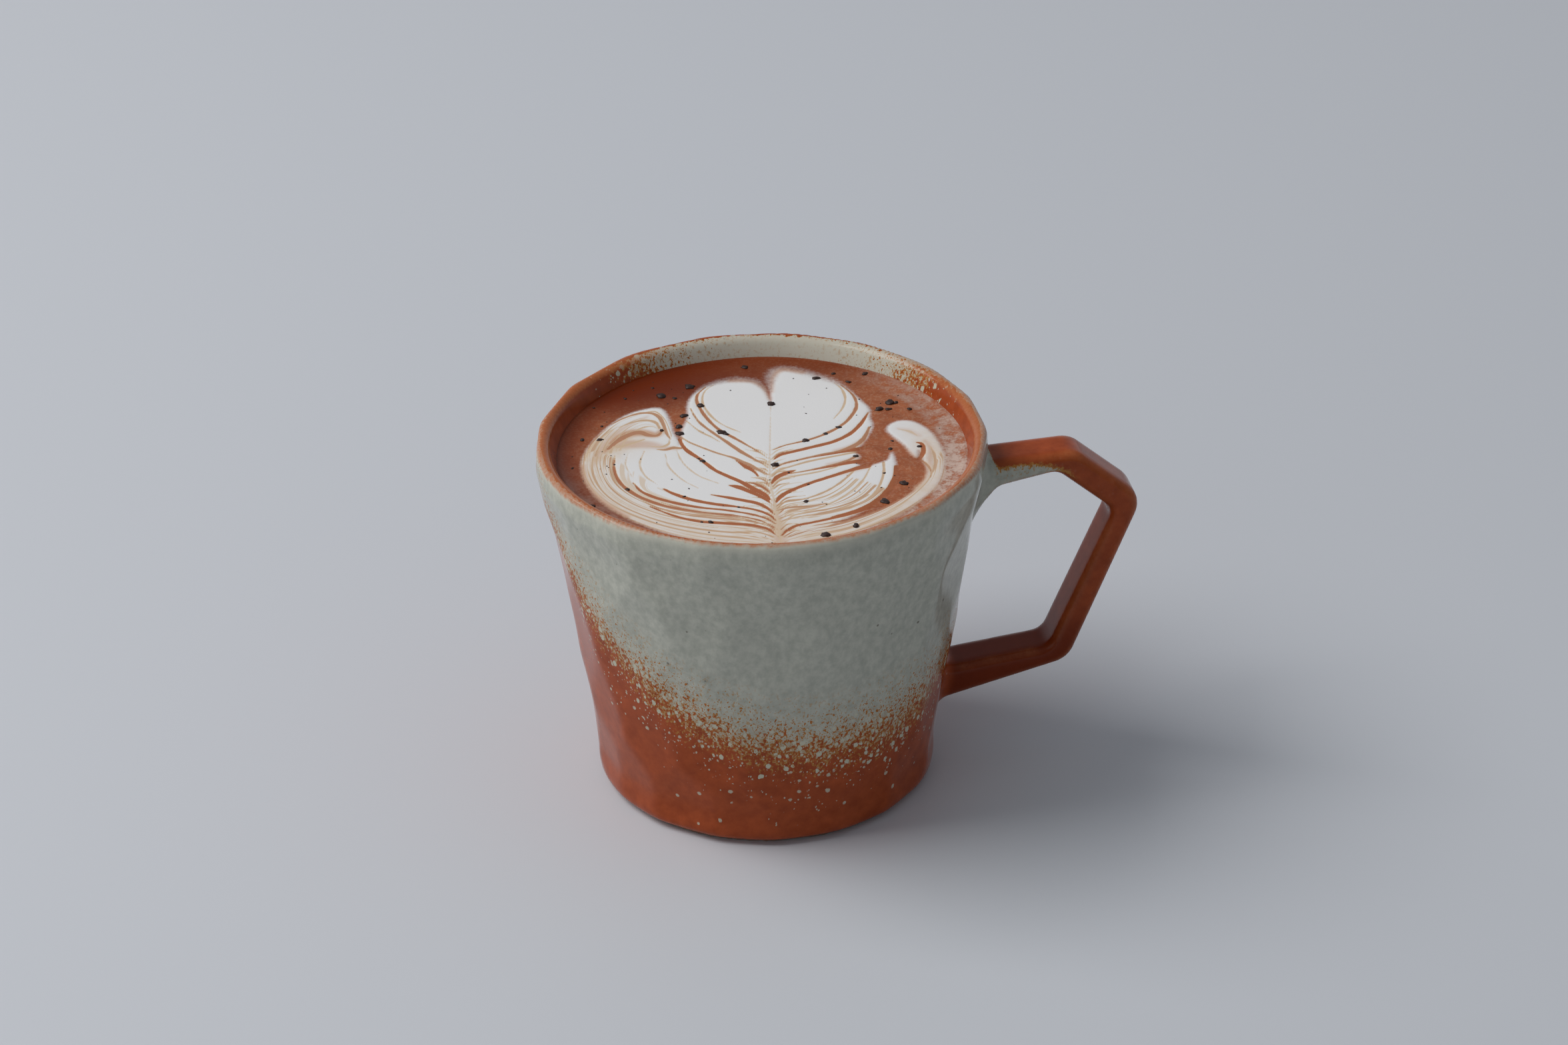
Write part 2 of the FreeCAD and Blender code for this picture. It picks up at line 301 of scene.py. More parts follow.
# %% The whole mug's distance
ROOT_FILLET = 2.6
HANDLE_SIDE = 28.0
FAR_OFF = 9.0


def mug_distance(points):
    """Pot and handle joined, then hollowed and rounded at the lip."""
    body = outside_distance(points)
    near = points[:, 0] > HANDLE_SIDE
    strap = np.full(len(points), FAR_OFF)
    strap[near] = strap_distance(points[near])
    body = round_union(body, strap, ROOT_FILLET)
    body = round_common(body, points[:, 2] - LIP_HEIGHT, LIP_ROUND)
    return round_common(body, -cavity_distance(points), LIP_ROUND)


print("distance at the drink's centre:", mug_distance(np.array([[0.0, 0.0, 40.0]])))

# %% [markdown]
# The rough mesh is a voxel remesh of the CAD mug. It only has to be near the surface and evenly divided.
# Each vertex then steps along the distance's own slope until the distance is zero, and between steps it
# drifts towards the middle of its neighbours, which evens out the faces without moving the surface.

# %% Pull a mesh onto a distance
SLOPE_STEP = 0.02
LONGEST_PUSH = 0.8


def slope(points):
    """Which way the mug's distance grows at each point, and how fast."""
    parts = []
    for nudge in np.eye(3) * SLOPE_STEP:
        parts.append((mug_distance(points + nudge) - mug_distance(points - nudge)) / (2 * SLOPE_STEP))
    return np.stack(parts, axis=1)


def settle(points, rounds):
    """Step along the slope until the points lie on the surface."""
    for _ in range(rounds):
        push = slope(points)
        size = np.maximum((push * push).sum(1), 0.2)
        points = points - push * (np.clip(mug_distance(points), -LONGEST_PUSH, LONGEST_PUSH) / size)[:, None]
    return points


def neighbour_middle(points, edges):
    """The middle of each point's neighbours."""
    total = np.zeros_like(points)
    count = np.zeros(len(points))
    for a, b in ((0, 1), (1, 0)):
        for axis in range(3):
            total[:, axis] += np.bincount(edges[:, a], points[edges[:, b], axis], len(points))
        count += np.bincount(edges[:, a], minlength=len(points))
    return total / np.maximum(count, 1)[:, None]


def mesh_points(mesh):
    flat = np.empty(len(mesh.vertices) * 3)
    mesh.vertices.foreach_get("co", flat)
    return flat.reshape(-1, 3) / MM


def mesh_edges(mesh):
    flat = np.empty(len(mesh.edges) * 2, int)
    mesh.edges.foreach_get("vertices", flat)
    return flat.reshape(-1, 2)


def write_points(mesh, points):
    mesh.vertices.foreach_set("co", (points * MM).ravel())
    mesh.update()


def shade_smooth(mesh):
    mesh.polygons.foreach_set("use_smooth", [True] * len(mesh.polygons))


def show(name, data):
    """An object for a mesh, a lamp or the camera, linked to the scene."""
    item = bpy.data.objects.new(name, data)
    bpy.context.scene.collection.objects.link(item)
    return item


print("a rough mesh can now be pulled onto the mug")

# %% The mug's mesh
MESH_SPACING = 0.79


def rough_copy(node):
    """An evenly divided copy of a CAD node."""
    copy = show("rough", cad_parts[node].data.copy())
    remesh = copy.modifiers.new("even", "REMESH")
    remesh.mode = "VOXEL"
    remesh.voxel_size = MESH_SPACING * MM
    graph = bpy.context.evaluated_depsgraph_get()
    mesh = bpy.data.meshes.new_from_object(copy.evaluated_get(graph))
    bpy.data.objects.remove(copy)
    return mesh


def make_mug():
    mesh = rough_copy("mug")
    mesh.name = "mug_clay"
    edges = mesh_edges(mesh)
    points = settle(mesh_points(mesh), 3)
    for _ in range(3):
        points = 0.5 * points + 0.5 * neighbour_middle(points, edges)
        points = settle(points, 1)
    points = settle(points, 2)
    points = np.clip(points, np.array(CAD_BOUNDS[0]) / MM, np.array(CAD_BOUNDS[1]) / MM)
    write_points(mesh, points)
    mesh.materials.clear()
    shade_smooth(mesh)
    off = np.abs(mug_distance(points))
    print("mug:", len(mesh.polygons), "faces, at most", round(float(off.max()), 3), "mm off the surface")
    return show("faceted_mug", mesh)


mug = make_mug()
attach(mug, BODY)
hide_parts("mug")

# %% [markdown]
# The drink is espresso and chocolate with steamed milk poured over it. The barista draws with the jug:
# rocking it lays milk foam in leaves, pushing the last leaves together makes a heart, and a last thin
# stream is drawn through the middle, which pulls every leaf to a point on one stem. The brown lines are
# crema caught between two leaves. The figure could be an image, but nothing here is read from a picture. It
# is drawn the way the barista draws it, as brush strokes with a width and a darkness, in a plan of its own.
# There y runs away from the drinker and the stem points at the drinker. The mug, with its handle, stands
# turned by ten degrees from that plan.

# %% Plan of the poured figure
FIGURE_TURN = math.radians(10.0)
DRINK_RADIUS = cone_radius(DRINK_LEVEL) - WALL
DRINK_TUCK = 0.75


def turned(places, angle):
    """Places in a plane, turned about the middle."""
    x, y = np.asarray(places, float).T
    c, s = math.cos(angle), math.sin(angle)
    return np.stack([c * x - s * y, s * x + c * y], axis=1)


def flowing(controls, steps=8):
    """A smooth path through given points (Catmull-Rom)."""
    p = np.asarray(controls, float)
    if len(p) == 2:
        return np.linspace(p[0], p[1], 2 * steps)
    p = np.vstack([2 * p[0] - p[1], p, 2 * p[-1] - p[-2]])
    path = []
    for a, b, c, d in zip(p[:-3], p[1:-2], p[2:-1], p[3:]):
        for t in np.arange(steps) / steps:
            bend = (2 * a - 5 * b + 4 * c - d) * t ** 2 + (3 * b - a - 3 * c + d) * t ** 3
            path.append(0.5 * (2 * b + (c - a) * t + bend))
    path.append(p[-2])
    return np.array(path)


print("drink radius", round(DRINK_RADIUS, 2), "mm")

# %% [markdown]
# The drink's skin is a disc whose grid of squares is squeezed into a circle, so that the faces stay even
# and fine enough to hold the thinnest line. It closes downwards as a plug that follows the cavity and
# reaches a little into the wall, so no gap shows at the edge. The skin itself is not flat: it climbs the
# glaze at the wall, the milk stands a hair proud of the crema, and the lines are shallow valleys.

# %% The drink's grid
def disc_grid(count):
    """Points of a square grid squeezed into a unit disc, and its faces."""
    line = np.linspace(-1.0, 1.0, count + 1)
    x, y = np.meshgrid(line, line)
    u = x * np.sqrt(1 - y * y / 2)
    v = y * np.sqrt(1 - x * x / 2)
    index = np.arange((count + 1) ** 2).reshape(count + 1, count + 1)
    faces = np.stack([index[:-1, :-1], index[:-1, 1:], index[1:, 1:], index[1:, :-1]], axis=-1).reshape(-1, 4)
    rim = np.concatenate([index[0, :-1], index[:-1, -1], index[-1, :0:-1], index[:0:-1, 0]])
    return np.stack([u.ravel(), v.ravel()], axis=1), faces, rim


GRID = 286
disc, top_faces, rim = disc_grid(GRID)
skin = disc * (DRINK_RADIUS + DRINK_TUCK)
plan = turned(skin, FIGURE_TURN)
print(len(skin), "points in the skin,", round(2 * DRINK_RADIUS / GRID, 2), "mm apart")

# %% [markdown]
# First the outlines of the large white areas: the leaf with its heart, and the two curls at its sides. A
# signed distance to each outline gives a soft edge of any width. At the far side, where the pour began, the
# edge is softer.

# %% White areas
FAR_SOFTNESS = 2.2
HEART_AND_LEAF = flowing([
    (1.9, 22), (1.4, 24.5), (0.6, 27.5), (-1.4, 30.6), (-5, 31.6), (-9, 30.3), (-12.3, 27.6), (-14.3, 24),
    (-14.9, 20), (-14.9, 15.5), (-15.9, 10.5), (-16.3, 5.5), (-17.5, 3.8), (-20, 4.6), (-22.5, 6), (-25, 8),
    (-27.5, 9.5), (-30, 9.5), (-33, 6.5), (-35.2, 1.5), (-35.8, -4), (-35, -10), (-33, -15.8),
    (-29.6, -21.4), (-24.4, -27), (-18, -31.8), (-11, -35.2), (-3, -37), (5, -36.8), (13.4, -34.6),
    (20.6, -30.6), (26.6, -25.4), (30.6, -20.4), (32.8, -15.8), (30.6, -14.6), (28.6, -17.4), (25.6, -20.8),
    (21.8, -24.2), (17.5, -26.9), (13.8, -28.6), (17, -26), (20.6, -22.4), (24.4, -16.8), (26.4, -11),
    (26.5, -5.5), (25.8, -0.2), (25, -3), (23.2, -4.4), (20.4, -5.9), (18.9, -4.6), (19.4, -1.8),
    (18.6, 0.4), (20.4, 4.6), (22.2, 10.6), (21.8, 14.4), (21.7, 18.4), (20.2, 21.6), (17.6, 26.8),
    (14.6, 30.4), (11, 33), (8, 35), (5, 36), (3, 35.4), (2.2, 33.6), (1.9, 30),
], 4)
LEFT_CURL = flowing([
    (-35.9, -4), (-35.1, 2), (-33.4, 7), (-30.6, 12.6), (-27.2, 17.2), (-23.6, 19.5), (-20.6, 19.9),
    (-19.2, 17.8), (-18.2, 13.2), (-17.5, 9), (-16.4, 5.6), (-16.8, 3), (-21, 1), (-28, -2),
], 4)
RIGHT_CURL = flowing([
    (25, 8.6), (25.3, 10.8), (27, 12.7), (29.2, 13.1), (31.6, 11.6), (33.8, 8.2), (35.2, 4), (36, 0),
    (36.2, -4), (35.6, -9.5), (34, -14.6), (31.4, -18.6), (29.6, -15.6), (31.6, -11.6), (32.4, -7.4),
    (31.8, -3.6), (31.2, 0.4), (30.8, -2.2), (29.7, -1.6), (28.2, 2.6), (26.2, 6.2),
], 4)


def area(places, path):
    """Signed distance to an outline, positive inside."""
    return -outline_distance(places[:, 0], places[:, 1], path)


milk = np.maximum.reduce([area(plan, outline) for outline in (HEART_AND_LEAF, LEFT_CURL, RIGHT_CURL)])
milk /= 1.0 + FAR_SOFTNESS * smooth_step(25.0, 33.0, plan[:, 1])
print("white covers", round(float((milk > 0).mean()) * 100), "% of the skin")

# %% [markdown]
# Then the brown lines. A stroke says how much crema it carries, then its half width from start to end, then
# its points: 1 is the full red-brown and 0.3 a pale tan. The strongest stroke wins at each point, so
# strokes may cross. A point further than STROKE_REACH from a path isn't asked about it, and between two
# strokes a full tone is worth as much as TONE_WORTH millimetres.

# %% Brush strokes
STROKE_REACH = 1.8
TONE_WORTH = 0.25


class Canvas:
    """The lines on the skin: how far inside a line each point is, and how brown that line is."""

    def __init__(self, places):
        self.places = places
        self.inside = np.full(len(places), -1.0)
        self.tone = np.zeros(len(places))
        self.count = 0

    def draw(self, lines):
        """Every line of a list, in its order."""
        for tone, widths, controls in lines:
            self.stroke(controls, widths, tone)

    def stroke(self, controls, widths, tone):
        path = flowing(controls)
        span = np.linspace(0.0, 1.0, len(path))
        half = np.interp(span, np.linspace(0, 1, len(widths)), widths)
        low, high = path.min(0) - STROKE_REACH, path.max(0) + STROKE_REACH
        near = np.where(((self.places > low) & (self.places < high)).all(1))[0]
        best = np.full(len(near), -1.0)
        for start, stop, first, last in zip(path[:-1], path[1:], half[:-1], half[1:]):
            along = stop - start
            size = max(float(along @ along), 1e-9)
            arm = self.places[near] - start
            t = np.clip(arm @ along / size, 0.0, 1.0)
            gap = arm - t[:, None] * along
            best = np.maximum(best, first + (last - first) * t - np.hypot(gap[:, 0], gap[:, 1]))
        worth = best + TONE_WORTH * (tone - 1.0)
        held = self.inside[near] + TONE_WORTH * (self.tone[near] - 1.0)
        wins = worth > held
        self.inside[near[wins]] = best[wins]
        self.tone[near[wins]] = tone
        self.count += 1


LEFT_OF_STEM = [
    (0.42, (0.05, 0.22, 0.1), [(-9.6, 29.6), (-11.4, 26.6), (-11.9, 22.5), (-11.1, 18.6), (-9.4, 14.6),
     (-7, 11.4), (-4.2, 9)]),
    (0.72, (0.06, 0.3, 0.32, 0.3, 0.1), [(-11.2, 28.8), (-12.8, 25.5), (-13, 22.4), (-12.4, 19.5),
     (-11, 15.2), (-8.6, 10.4), (-5.4, 6.6), (-2.6, 3.2), (-0.2, 0.2)]),
    (0.66, (0.08, 0.2, 0.3, 0.42, 0.1), [(-14.3, 19.4), (-13.4, 16), (-12.2, 12.9), (-10, 9.4), (-7.2, 5.4),
     (-4.5, 1.4), (-2, -1.8), (0.3, -4.4)]),
    (0.45, (0.05, 0.22, 0.2, 0.05), [(-15.2, 14.4), (-13, 10.6), (-11.4, 8.6), (-10, 7.2), (-8.4, 5.2)]),
    (0.62, (0.1, 0.22, 0.2, 0.55, 0.15), [(-16.2, 7.6), (-14.4, 5.2), (-11.4, 2.6), (-8.6, 0.4),
     (-5.6, -1.6), (-3.4, -3.8), (-1.2, -6.2), (0.6, -8.4)]),
    (0.9, (0.1, 0.5, 0.3, 0.1), [(-5.2, -2.6), (-3.2, -5.2), (-1.6, -7.4), (-0.8, -9.2)]),
    (0.95, (0.3, 0.42, 0.4, 0.4, 0.45, 0.6, 0.2), [(-16.4, 6.6), (-15.6, 3.4), (-14.2, 0.8), (-12.2, -1.8),
     (-10.4, -4.8), (-9, -6.8), (-6.4, -9.4), (-4, -11.6), (-2, -14), (0.4, -16.6), (1.4, -18.6)]),
    (0.75, (0.1, 0.35, 0.1), [(-3.2, -11.6), (-1.2, -12.4), (0.6, -14.4), (1.4, -16)]),
    (0.95, (0.12, 0.62, 0.5, 0.4, 0.1), [(-6.4, -12.8), (-4.6, -13.6), (-2, -15.8), (0.2, -18),
     (1.6, -20.2)]),
    (0.9, (0.1, 0.45, 0.5, 0.35, 0.1), [(-10, -16.5), (-7, -17.6), (-4.4, -18.6), (-1.2, -20), (0.8, -22),
     (2.2, -24.6)]),
    (0.88, (0.12, 0.5, 0.45, 0.3, 0.3, 0.1), [(-19.4, -13.8), (-17, -16.2), (-13.4, -18.6), (-9, -20.4),
     (-5, -21.4), (-1.2, -22.8), (1.4, -25), (2.4, -27)]),
    (0.8, (0.1, 0.42, 0.42, 0.3, 0.25, 0.1), [(-25.4, -11.2), (-23.6, -14.8), (-20.4, -17.6), (-16.2, -20),
     (-12, -21.6), (-7, -22.8), (-2.4, -24.4), (0.6, -26.2), (2.4, -28.4)]),
    (0.75, (0.08, 0.3, 0.42, 0.4, 0.25, 0.2, 0.1), [(-29.2, -1), (-29.3, -5.2), (-28.2, -10.4),
     (-25.6, -15), (-22, -18.6), (-17.6, -21.4), (-12, -23.4), (-5.6, -24.8), (-0.6, -27), (2.2, -30)]),
    (0.65, (0.08, 0.2, 0.2, 0.08), [(-19.8, -19.2), (-16, -21.6), (-10.8, -23.8), (-5, -25.6), (0, -28.4)]),
    (0.85, (0.12, 0.3, 0.42, 0.5, 0.4, 0.1), [(-22, -20.8), (-17, -24.8), (-12.4, -27), (-8, -27.8),
     (-3, -28.6), (0.6, -30.2), (2.3, -32.6)]),
    (0.6, (0.08, 0.18, 0.2, 0.18, 0.08), [(-26, -14.6), (-22, -20), (-16.4, -23.8), (-10.4, -25.6),
     (-4, -26.8), (0.6, -28.8), (2.4, -31)]),
]
RIGHT_OF_STEM = [
    (0.4, (0.05, 0.2, 0.25, 0.05), [(14.5, 14), (16.2, 18), (17, 22.4), (16.4, 26.6), (15, 29.6)]),
    (0.7, (0.08, 0.2, 0.32, 0.34, 0.3, 0.25, 0.06), [(2.2, 1.4), (4.6, 3.2), (8.7, 5.1), (12.2, 7.4),
     (15.3, 10.4), (17.4, 13.6), (18.9, 17.6), (19.2, 20.8), (18.4, 24.6), (16.2, 28.9)]),
    (0.88, (0.15, 0.45, 0.42, 0.45, 0.42, 0.35, 0.15), [(2.4, -2.4), (3.8, -0.6), (6.4, 0.7), (10, 2.4),
     (14, 4.4), (17, 7), (18.8, 9.6), (20.2, 12.6), (21.5, 16.6)]),
    (0.66, (0.1, 0.28, 0.25, 0.35, 0.55, 0.5, 0.2), [(2.2, -6.4), (4.2, -4.4), (7, -3), (11, -1.2),
     (15, 0.4), (18, 2.4), (20.2, 5.6), (21.6, 10.4)]),
    (0.45, (0.1, 0.2, 0.25, 0.3, 0.2), [(1.8, -9.4), (3.4, -7), (6.2, -5.2), (10, -3.2), (14.6, -1.4),
     (18.9, 0.2)]),
    (0.85, (0.15, 0.5, 0.6, 0.1), [(1.7, -12.4), (2.9, -9.8), (4.6, -8.2), (6.6, -7)]),
    (0.66, (0.1, 0.2, 0.28, 0.35, 0.3), [(4.6, -8.6), (8.6, -7.4), (13.2, -5.4), (16.6, -3.6),
     (18.9, -1.4)]),
    (0.4, (0.1, 0.22, 0.2, 0.22, 0.1), [(1.9, -14.2), (3.3, -10.9), (6.6, -9.4), (12, -7.4), (19, -3.2)]),
    (0.92, (0.15, 0.5, 0.42, 0.4, 0.4, 0.4, 0.3), [(2.6, -19.8), (3.6, -17.4), (5.6, -15.2), (9, -12.6),
     (13, -10.1), (16.4, -8), (20.4, -5.6)]),
    (0.5, (0.08, 0.15, 0.2, 0.22, 0.18, 0.1), [(2.5, -21.4), (4.4, -19.8), (8.3, -18.6), (11.8, -16.4),
     (14.6, -13.4), (16.8, -10), (18.6, -6.6)]),
    (0.4, (0.08, 0.2, 0.18, 0.2, 0.1), [(4, -25.6), (8.4, -24), (13.6, -20.4), (17.2, -16.2), (19.8, -11.4),
     (21.3, -6.4)]),
    (0.85, (0.8, 0.55, 0.35, 0.12), [(20.8, 2), (17.6, 0.9), (14, -0.3), (9.6, -1.9)]),
    (0.85, (0.9, 0.6, 0.35, 0.12), [(20.4, -3.4), (17.4, -4.1), (13.6, -5.6), (10, -7)]),
    (0.85, (0.9, 0.55, 0.3, 0.12), [(20.6, -5.6), (18, -7), (14, -9.4), (9.4, -12.2)]),
    (0.45, (0.2, 0.22, 0.18, 0.1), [(24, -4.2), (23.9, -9), (22.6, -15), (20.4, -19.4), (16.6, -23.2)]),
    (0.88, (0.75, 0.6, 0.42, 0.32, 0.35, 0.3, 0.1), [(23.2, -21.6), (20, -22.7), (17, -24.8), (13.6, -26.5),
     (9.8, -28), (6.6, -29.2), (4.8, -31), (3.6, -33)]),
    (0.95, (0.5, 0.8, 0.7, 0.45, 0.1), [(26.6, -6), (26.3, -11), (24.8, -15.6), (22.2, -20), (18.6, -23.4),
     (13.4, -26)]),
    (0.6, (0.1, 0.35, 0.3, 0.08), [(2.8, -23), (5.6, -21.9), (9.6, -21.6), (12.6, -20.6)]),
    (0.5, (0.08, 0.22, 0.2, 0.08), [(3.4, -27.6), (7, -25.8), (12, -24.3), (17, -21.4), (20.8, -17.4)]),
]
IN_THE_CURLS = [
    (0.62, (0.08, 0.32, 0.4, 0.35, 0.1), [(-30, 13.4), (-27.6, 15.9), (-24.6, 17.7), (-22, 17.6),
     (-20.4, 15.6), (-19.6, 12.4), (-19, 9), (-18.2, 6.6)]),
    (0.5, (0.06, 0.22, 0.3, 0.25), [(-28.6, 11.8), (-25.8, 14), (-23, 14.7), (-21.2, 13.6), (-20.4, 11.2)]),
    (0.35, (0.1, 0.25, 0.2, 0.06), [(-35.2, -2), (-34, 3.6), (-31.6, 8.4), (-28.8, 12.2)]),
    (0.5, (0.1, 0.25, 0.25, 0.08), [(33.2, -9.8), (34.1, -6.4), (34.2, -2), (33.4, 2)]),
    (0.28, (0.1, 0.35, 0.1), [(27.2, 9.4), (29.6, 8.2), (31, 6.4)]),
]
canvas = Canvas(plan)
for lines in (LEFT_OF_STEM, RIGHT_OF_STEM, IN_THE_CURLS):
    canvas.draw(lines)
print(canvas.count, "single strokes")

# %% [markdown]
# Broad washes come next. Where the pour dragged crema under the milk, the white takes a tan or rosy cast
# without a line. A wash is a stroke again, but on a canvas of its own, so that the material can lay it down
# softly.

# %% Washes
WASHES = [
    (0.95, (0.3, 1, 1.3, 1.1, 0.3), [(-19.8, 10.6), (-21.2, 8.4), (-24, 9.4), (-27, 8.8), (-29.4, 5.6),
     (-31.4, 1.6)]),
    (0.5, (0.5, 1.5, 1.3, 0.7, 0.3), [(-31, 4.4), (-27, 4.6), (-22.4, 4.2), (-19.4, 3), (-17, 2.6)]),
    (0.45, (0.2, 0.6, 0.4, 0.1), [(-33.4, -4), (-31.6, 4), (-27.6, 11.6), (-23, 16.2)]),
    (0.75, (0.4, 0.6, 0.6, 0.4), [(-35.6, -4), (-34.8, -11), (-31.6, -18), (-26.6, -24.6)]),
    (0.8, (0.3, 0.5, 0.6, 0.8, 0.4), [(24.8, 7.2), (27.6, 2.4), (29.8, -2.4), (31.4, -5.6), (31.6, -10),
     (29.6, -15), (26, -19.6)]),
    (0.55, (0.1, 0.4, 0.4, 0.2), [(32.4, 4.2), (33.4, 0.8), (33.2, -4), (32.6, -9)]),
    (0.35, (0.1, 0.5, 0.2), [(27.4, 9.6), (29.4, 8.6), (31.4, 6.4)]),
    (0.6, (0.6, 0.3, 0.1), [(19.2, -2.4), (16.4, -3.6), (13, -4.8)]),
    (0.6, (0.7, 0.4, 0.1), [(20, 4.2), (17.4, 2.2), (14.4, 0.8)]),
    (0.6, (0.6, 0.4, 0.1), [(20.6, -6), (17, -8), (13.6, -9.8)]),
    (0.7, (0.8, 0.5, 0.4, 0.1), [(-6, 31.4), (-1.6, 30.6), (0.8, 27.4), (1.8, 23)]),
    (0.7, (0.1, 0.3, 0.8, 0.8), [(2.2, 26), (2.4, 32), (4.4, 35.6), (8.4, 34.6)]),
    (0.42, (0.3, 0.9, 1.2), [(2.2, -19), (2.9, -27), (3.4, -36)]),
]
wash = Canvas(plan)
wash.draw(WASHES)
print(wash.count, "broad washes")

# %% [markdown]
# The last strokes are the scallops of the first leaves, the tan swirl in the left curl, the stem, and the
# feathering on both sides of it, where the last stream tore every leaf into fine points. The feathers
# repeat, so a loop draws them.

# %% Scallops, swirl, stem and feathers
SCALLOPS_AND_SWIRL = [
    (0.5, (0.06, 0.2, 0.08), [(-29.2, 0), (-29.6, -3.6), (-29, -8)]),
    (0.34, (0.06, 0.16, 0.05), [(-23.4, 1.6), (-24.2, -3.6), (-23, -8.6), (-20.6, -12)]),
    (0.34, (0.06, 0.16, 0.05), [(-19.2, 0.4), (-18.4, -5), (-15.6, -10.4), (-12.6, -13.8)]),
    (0.34, (0.06, 0.16, 0.05), [(-17, 2), (-15.6, -3.4), (-12.6, -8.6), (-8.6, -12)]),
    (0.3, (0.06, 0.12, 0.05), [(-26.6, 1), (-27, -4), (-25.6, -8.8)]),
    (0.66, (0.2, 0.5, 0.8, 0.7, 0.3), [(-20, 9.8), (-20.9, 8.2), (-22.6, 8.4), (-24.4, 9.6), (-26.6, 8.6),
     (-28.8, 6), (-30.6, 2.8)]),
    (0.62, (0.3, 0.5, 0.3, 0.1), [(-16.2, 2.8), (-17.6, 3), (-19.2, 2.2), (-20.8, 2.4)]),
    (0.4, (0.1, 0.3, 0.1), [(-18.4, 6.4), (-18.6, 4.6), (-20, 3.4), (-22.6, 3.8)]),
    (0.4, (0.1, 0.35, 0.15), [(-30.6, 4.6), (-28.4, 3.6), (-25.6, 5.2), (-23.4, 6.6)]),
    (0.85, (0.12, 0.4, 0.5, 0.3), [(30.9, 3.6), (31.8, 3), (32.1, 0.8), (31.7, -1.6), (31, -3.4)]),
    (0.6, (0.12, 0.25, 0.2, 0.06), [(31.2, -3), (32.6, -5.6), (33.3, -8.6), (33, -11)]),
]
STEM = [(1.9, 20), (1.7, 8), (1.5, -4), (1.6, -12), (2.3, -20), (2.9, -28), (3.4, -36.4)]
canvas.draw(SCALLOPS_AND_SWIRL)
canvas.stroke(STEM, (0.04, 0.1, 0.16, 0.22, 0.3, 0.3), 0.26)


def feather(canvas, seed=21):
    """Fine torn points on both sides of the stem, longer towards the drinker."""
    random = np.random.default_rng(seed)
    stem = flowing(STEM)
    for y in np.arange(-1.0, -34.0, -1.25):
        x = float(np.interp(-y, -stem[:, 1], stem[:, 0]))
        for side in (-1, 1):
            long = random.uniform(1.6, 4.2) * (1.0 + 0.02 * -y)
            start = (x + side * 0.35, y + random.uniform(-0.3, 0.3))
            middle = (start[0] + side * 0.36 * long, start[1] + 0.55 * long)
            stop = (start[0] + side * long, start[1] + 0.95 * long - 0.012 * long * -y)
            width = random.uniform(0.07, 0.17)
            canvas.stroke([start, middle, stop], (0.5 * width, width, 0.03), random.uniform(0.25, 0.7))


feather(canvas)
print(canvas.count, "strokes in all")

# %% [markdown]
# Where the jug rocked fastest, near the rim, the leaves are so thin that they read as a fan of fine tan
# lines. They are too fine to draw one by one. A fan has two or more borders. It says how many lines lie
# between each two of them and how strong these are, and every point in it gets a number that counts the
# lines passed on the way. The material turns that number into lines of uneven width. The sweep is the
# direction from the near end of the stem, in degrees, along which those lines wander.

# %% Fans of fine lines
FAN_EDGE = 0.35
NUMBER_GAP = 7.0
FAN_ORIGIN = (3.0, -37.0)
LEFT_FAN = ((6, 7, 6), (0.35, 0.75, 0.7), [
    [(-20.2, -13.4), (-17, -16.2), (-13.4, -18.6), (-9, -20.4), (-5, -21.4), (-1.2, -22.8), (1.4, -25),
     (2.2, -26.6)],
    [(-29.3, -1), (-29.3, -5.2), (-28.2, -10.4), (-25.6, -15), (-22, -18.6), (-17.6, -21.4), (-12, -23.4),
     (-5.6, -24.8), (-0.6, -27), (2.3, -30)],
    [(-32.6, 3), (-33, -4), (-31, -13), (-26, -20.5), (-18, -26.4), (-9, -29.4), (-1, -31), (2.5, -33.4)],
    [(-36.4, 1), (-36.2, -8), (-33.4, -16.6), (-28.2, -23.6), (-20.6, -30), (-11.4, -34.6), (-2, -36.8),
     (3.1, -37.6)],
])
RIGHT_FAN = ((5, 6), (0.6, 0.75), [
    [(2.5, -21.6), (4.4, -19.8), (8.3, -18.6), (11.8, -16.4), (14.6, -13.4), (16.8, -10)],
    [(2.7, -25), (5, -22.8), (9, -21.4), (13.6, -20), (17.2, -16.2), (19.8, -11.4)],
    [(3, -30), (6, -27.4), (12, -25.6), (18.6, -23), (22.2, -20), (24.8, -15.6)],
])
RIM_FAN = ((5, 4), (0.85, 0.7), [
    [(3.5, -33), (6, -30.2), (12, -28), (19, -25), (24, -21), (28, -15.6), (30.2, -11.6)],
    [(3.5, -35.4), (9, -32.4), (16, -29.8), (23, -24.8), (28.2, -19), (32.2, -12), (34, -4)],
    [(3.6, -37.4), (11, -36.4), (20.6, -32), (28, -25.6), (33.4, -17.8), (36.2, -9), (36.4, 2)],
])
CURL_FAN = ((5, 4), (0.6, 0.7), [
    [(-28, 2), (-26.8, 6.6), (-24.8, 10.2), (-22.2, 11.8), (-20.7, 10.8)],
    [(-31.6, 0), (-30.2, 6.4), (-27.8, 11.8), (-24.8, 14.8), (-22.2, 15), (-20.4, 12.4), (-19.6, 8.6)],
    [(-35.8, -2), (-34.8, 4.6), (-32, 10.6), (-28.4, 15.6), (-24.2, 18.9), (-20.8, 19.4), (-19, 16),
     (-18, 11), (-17.2, 6.6)],
])


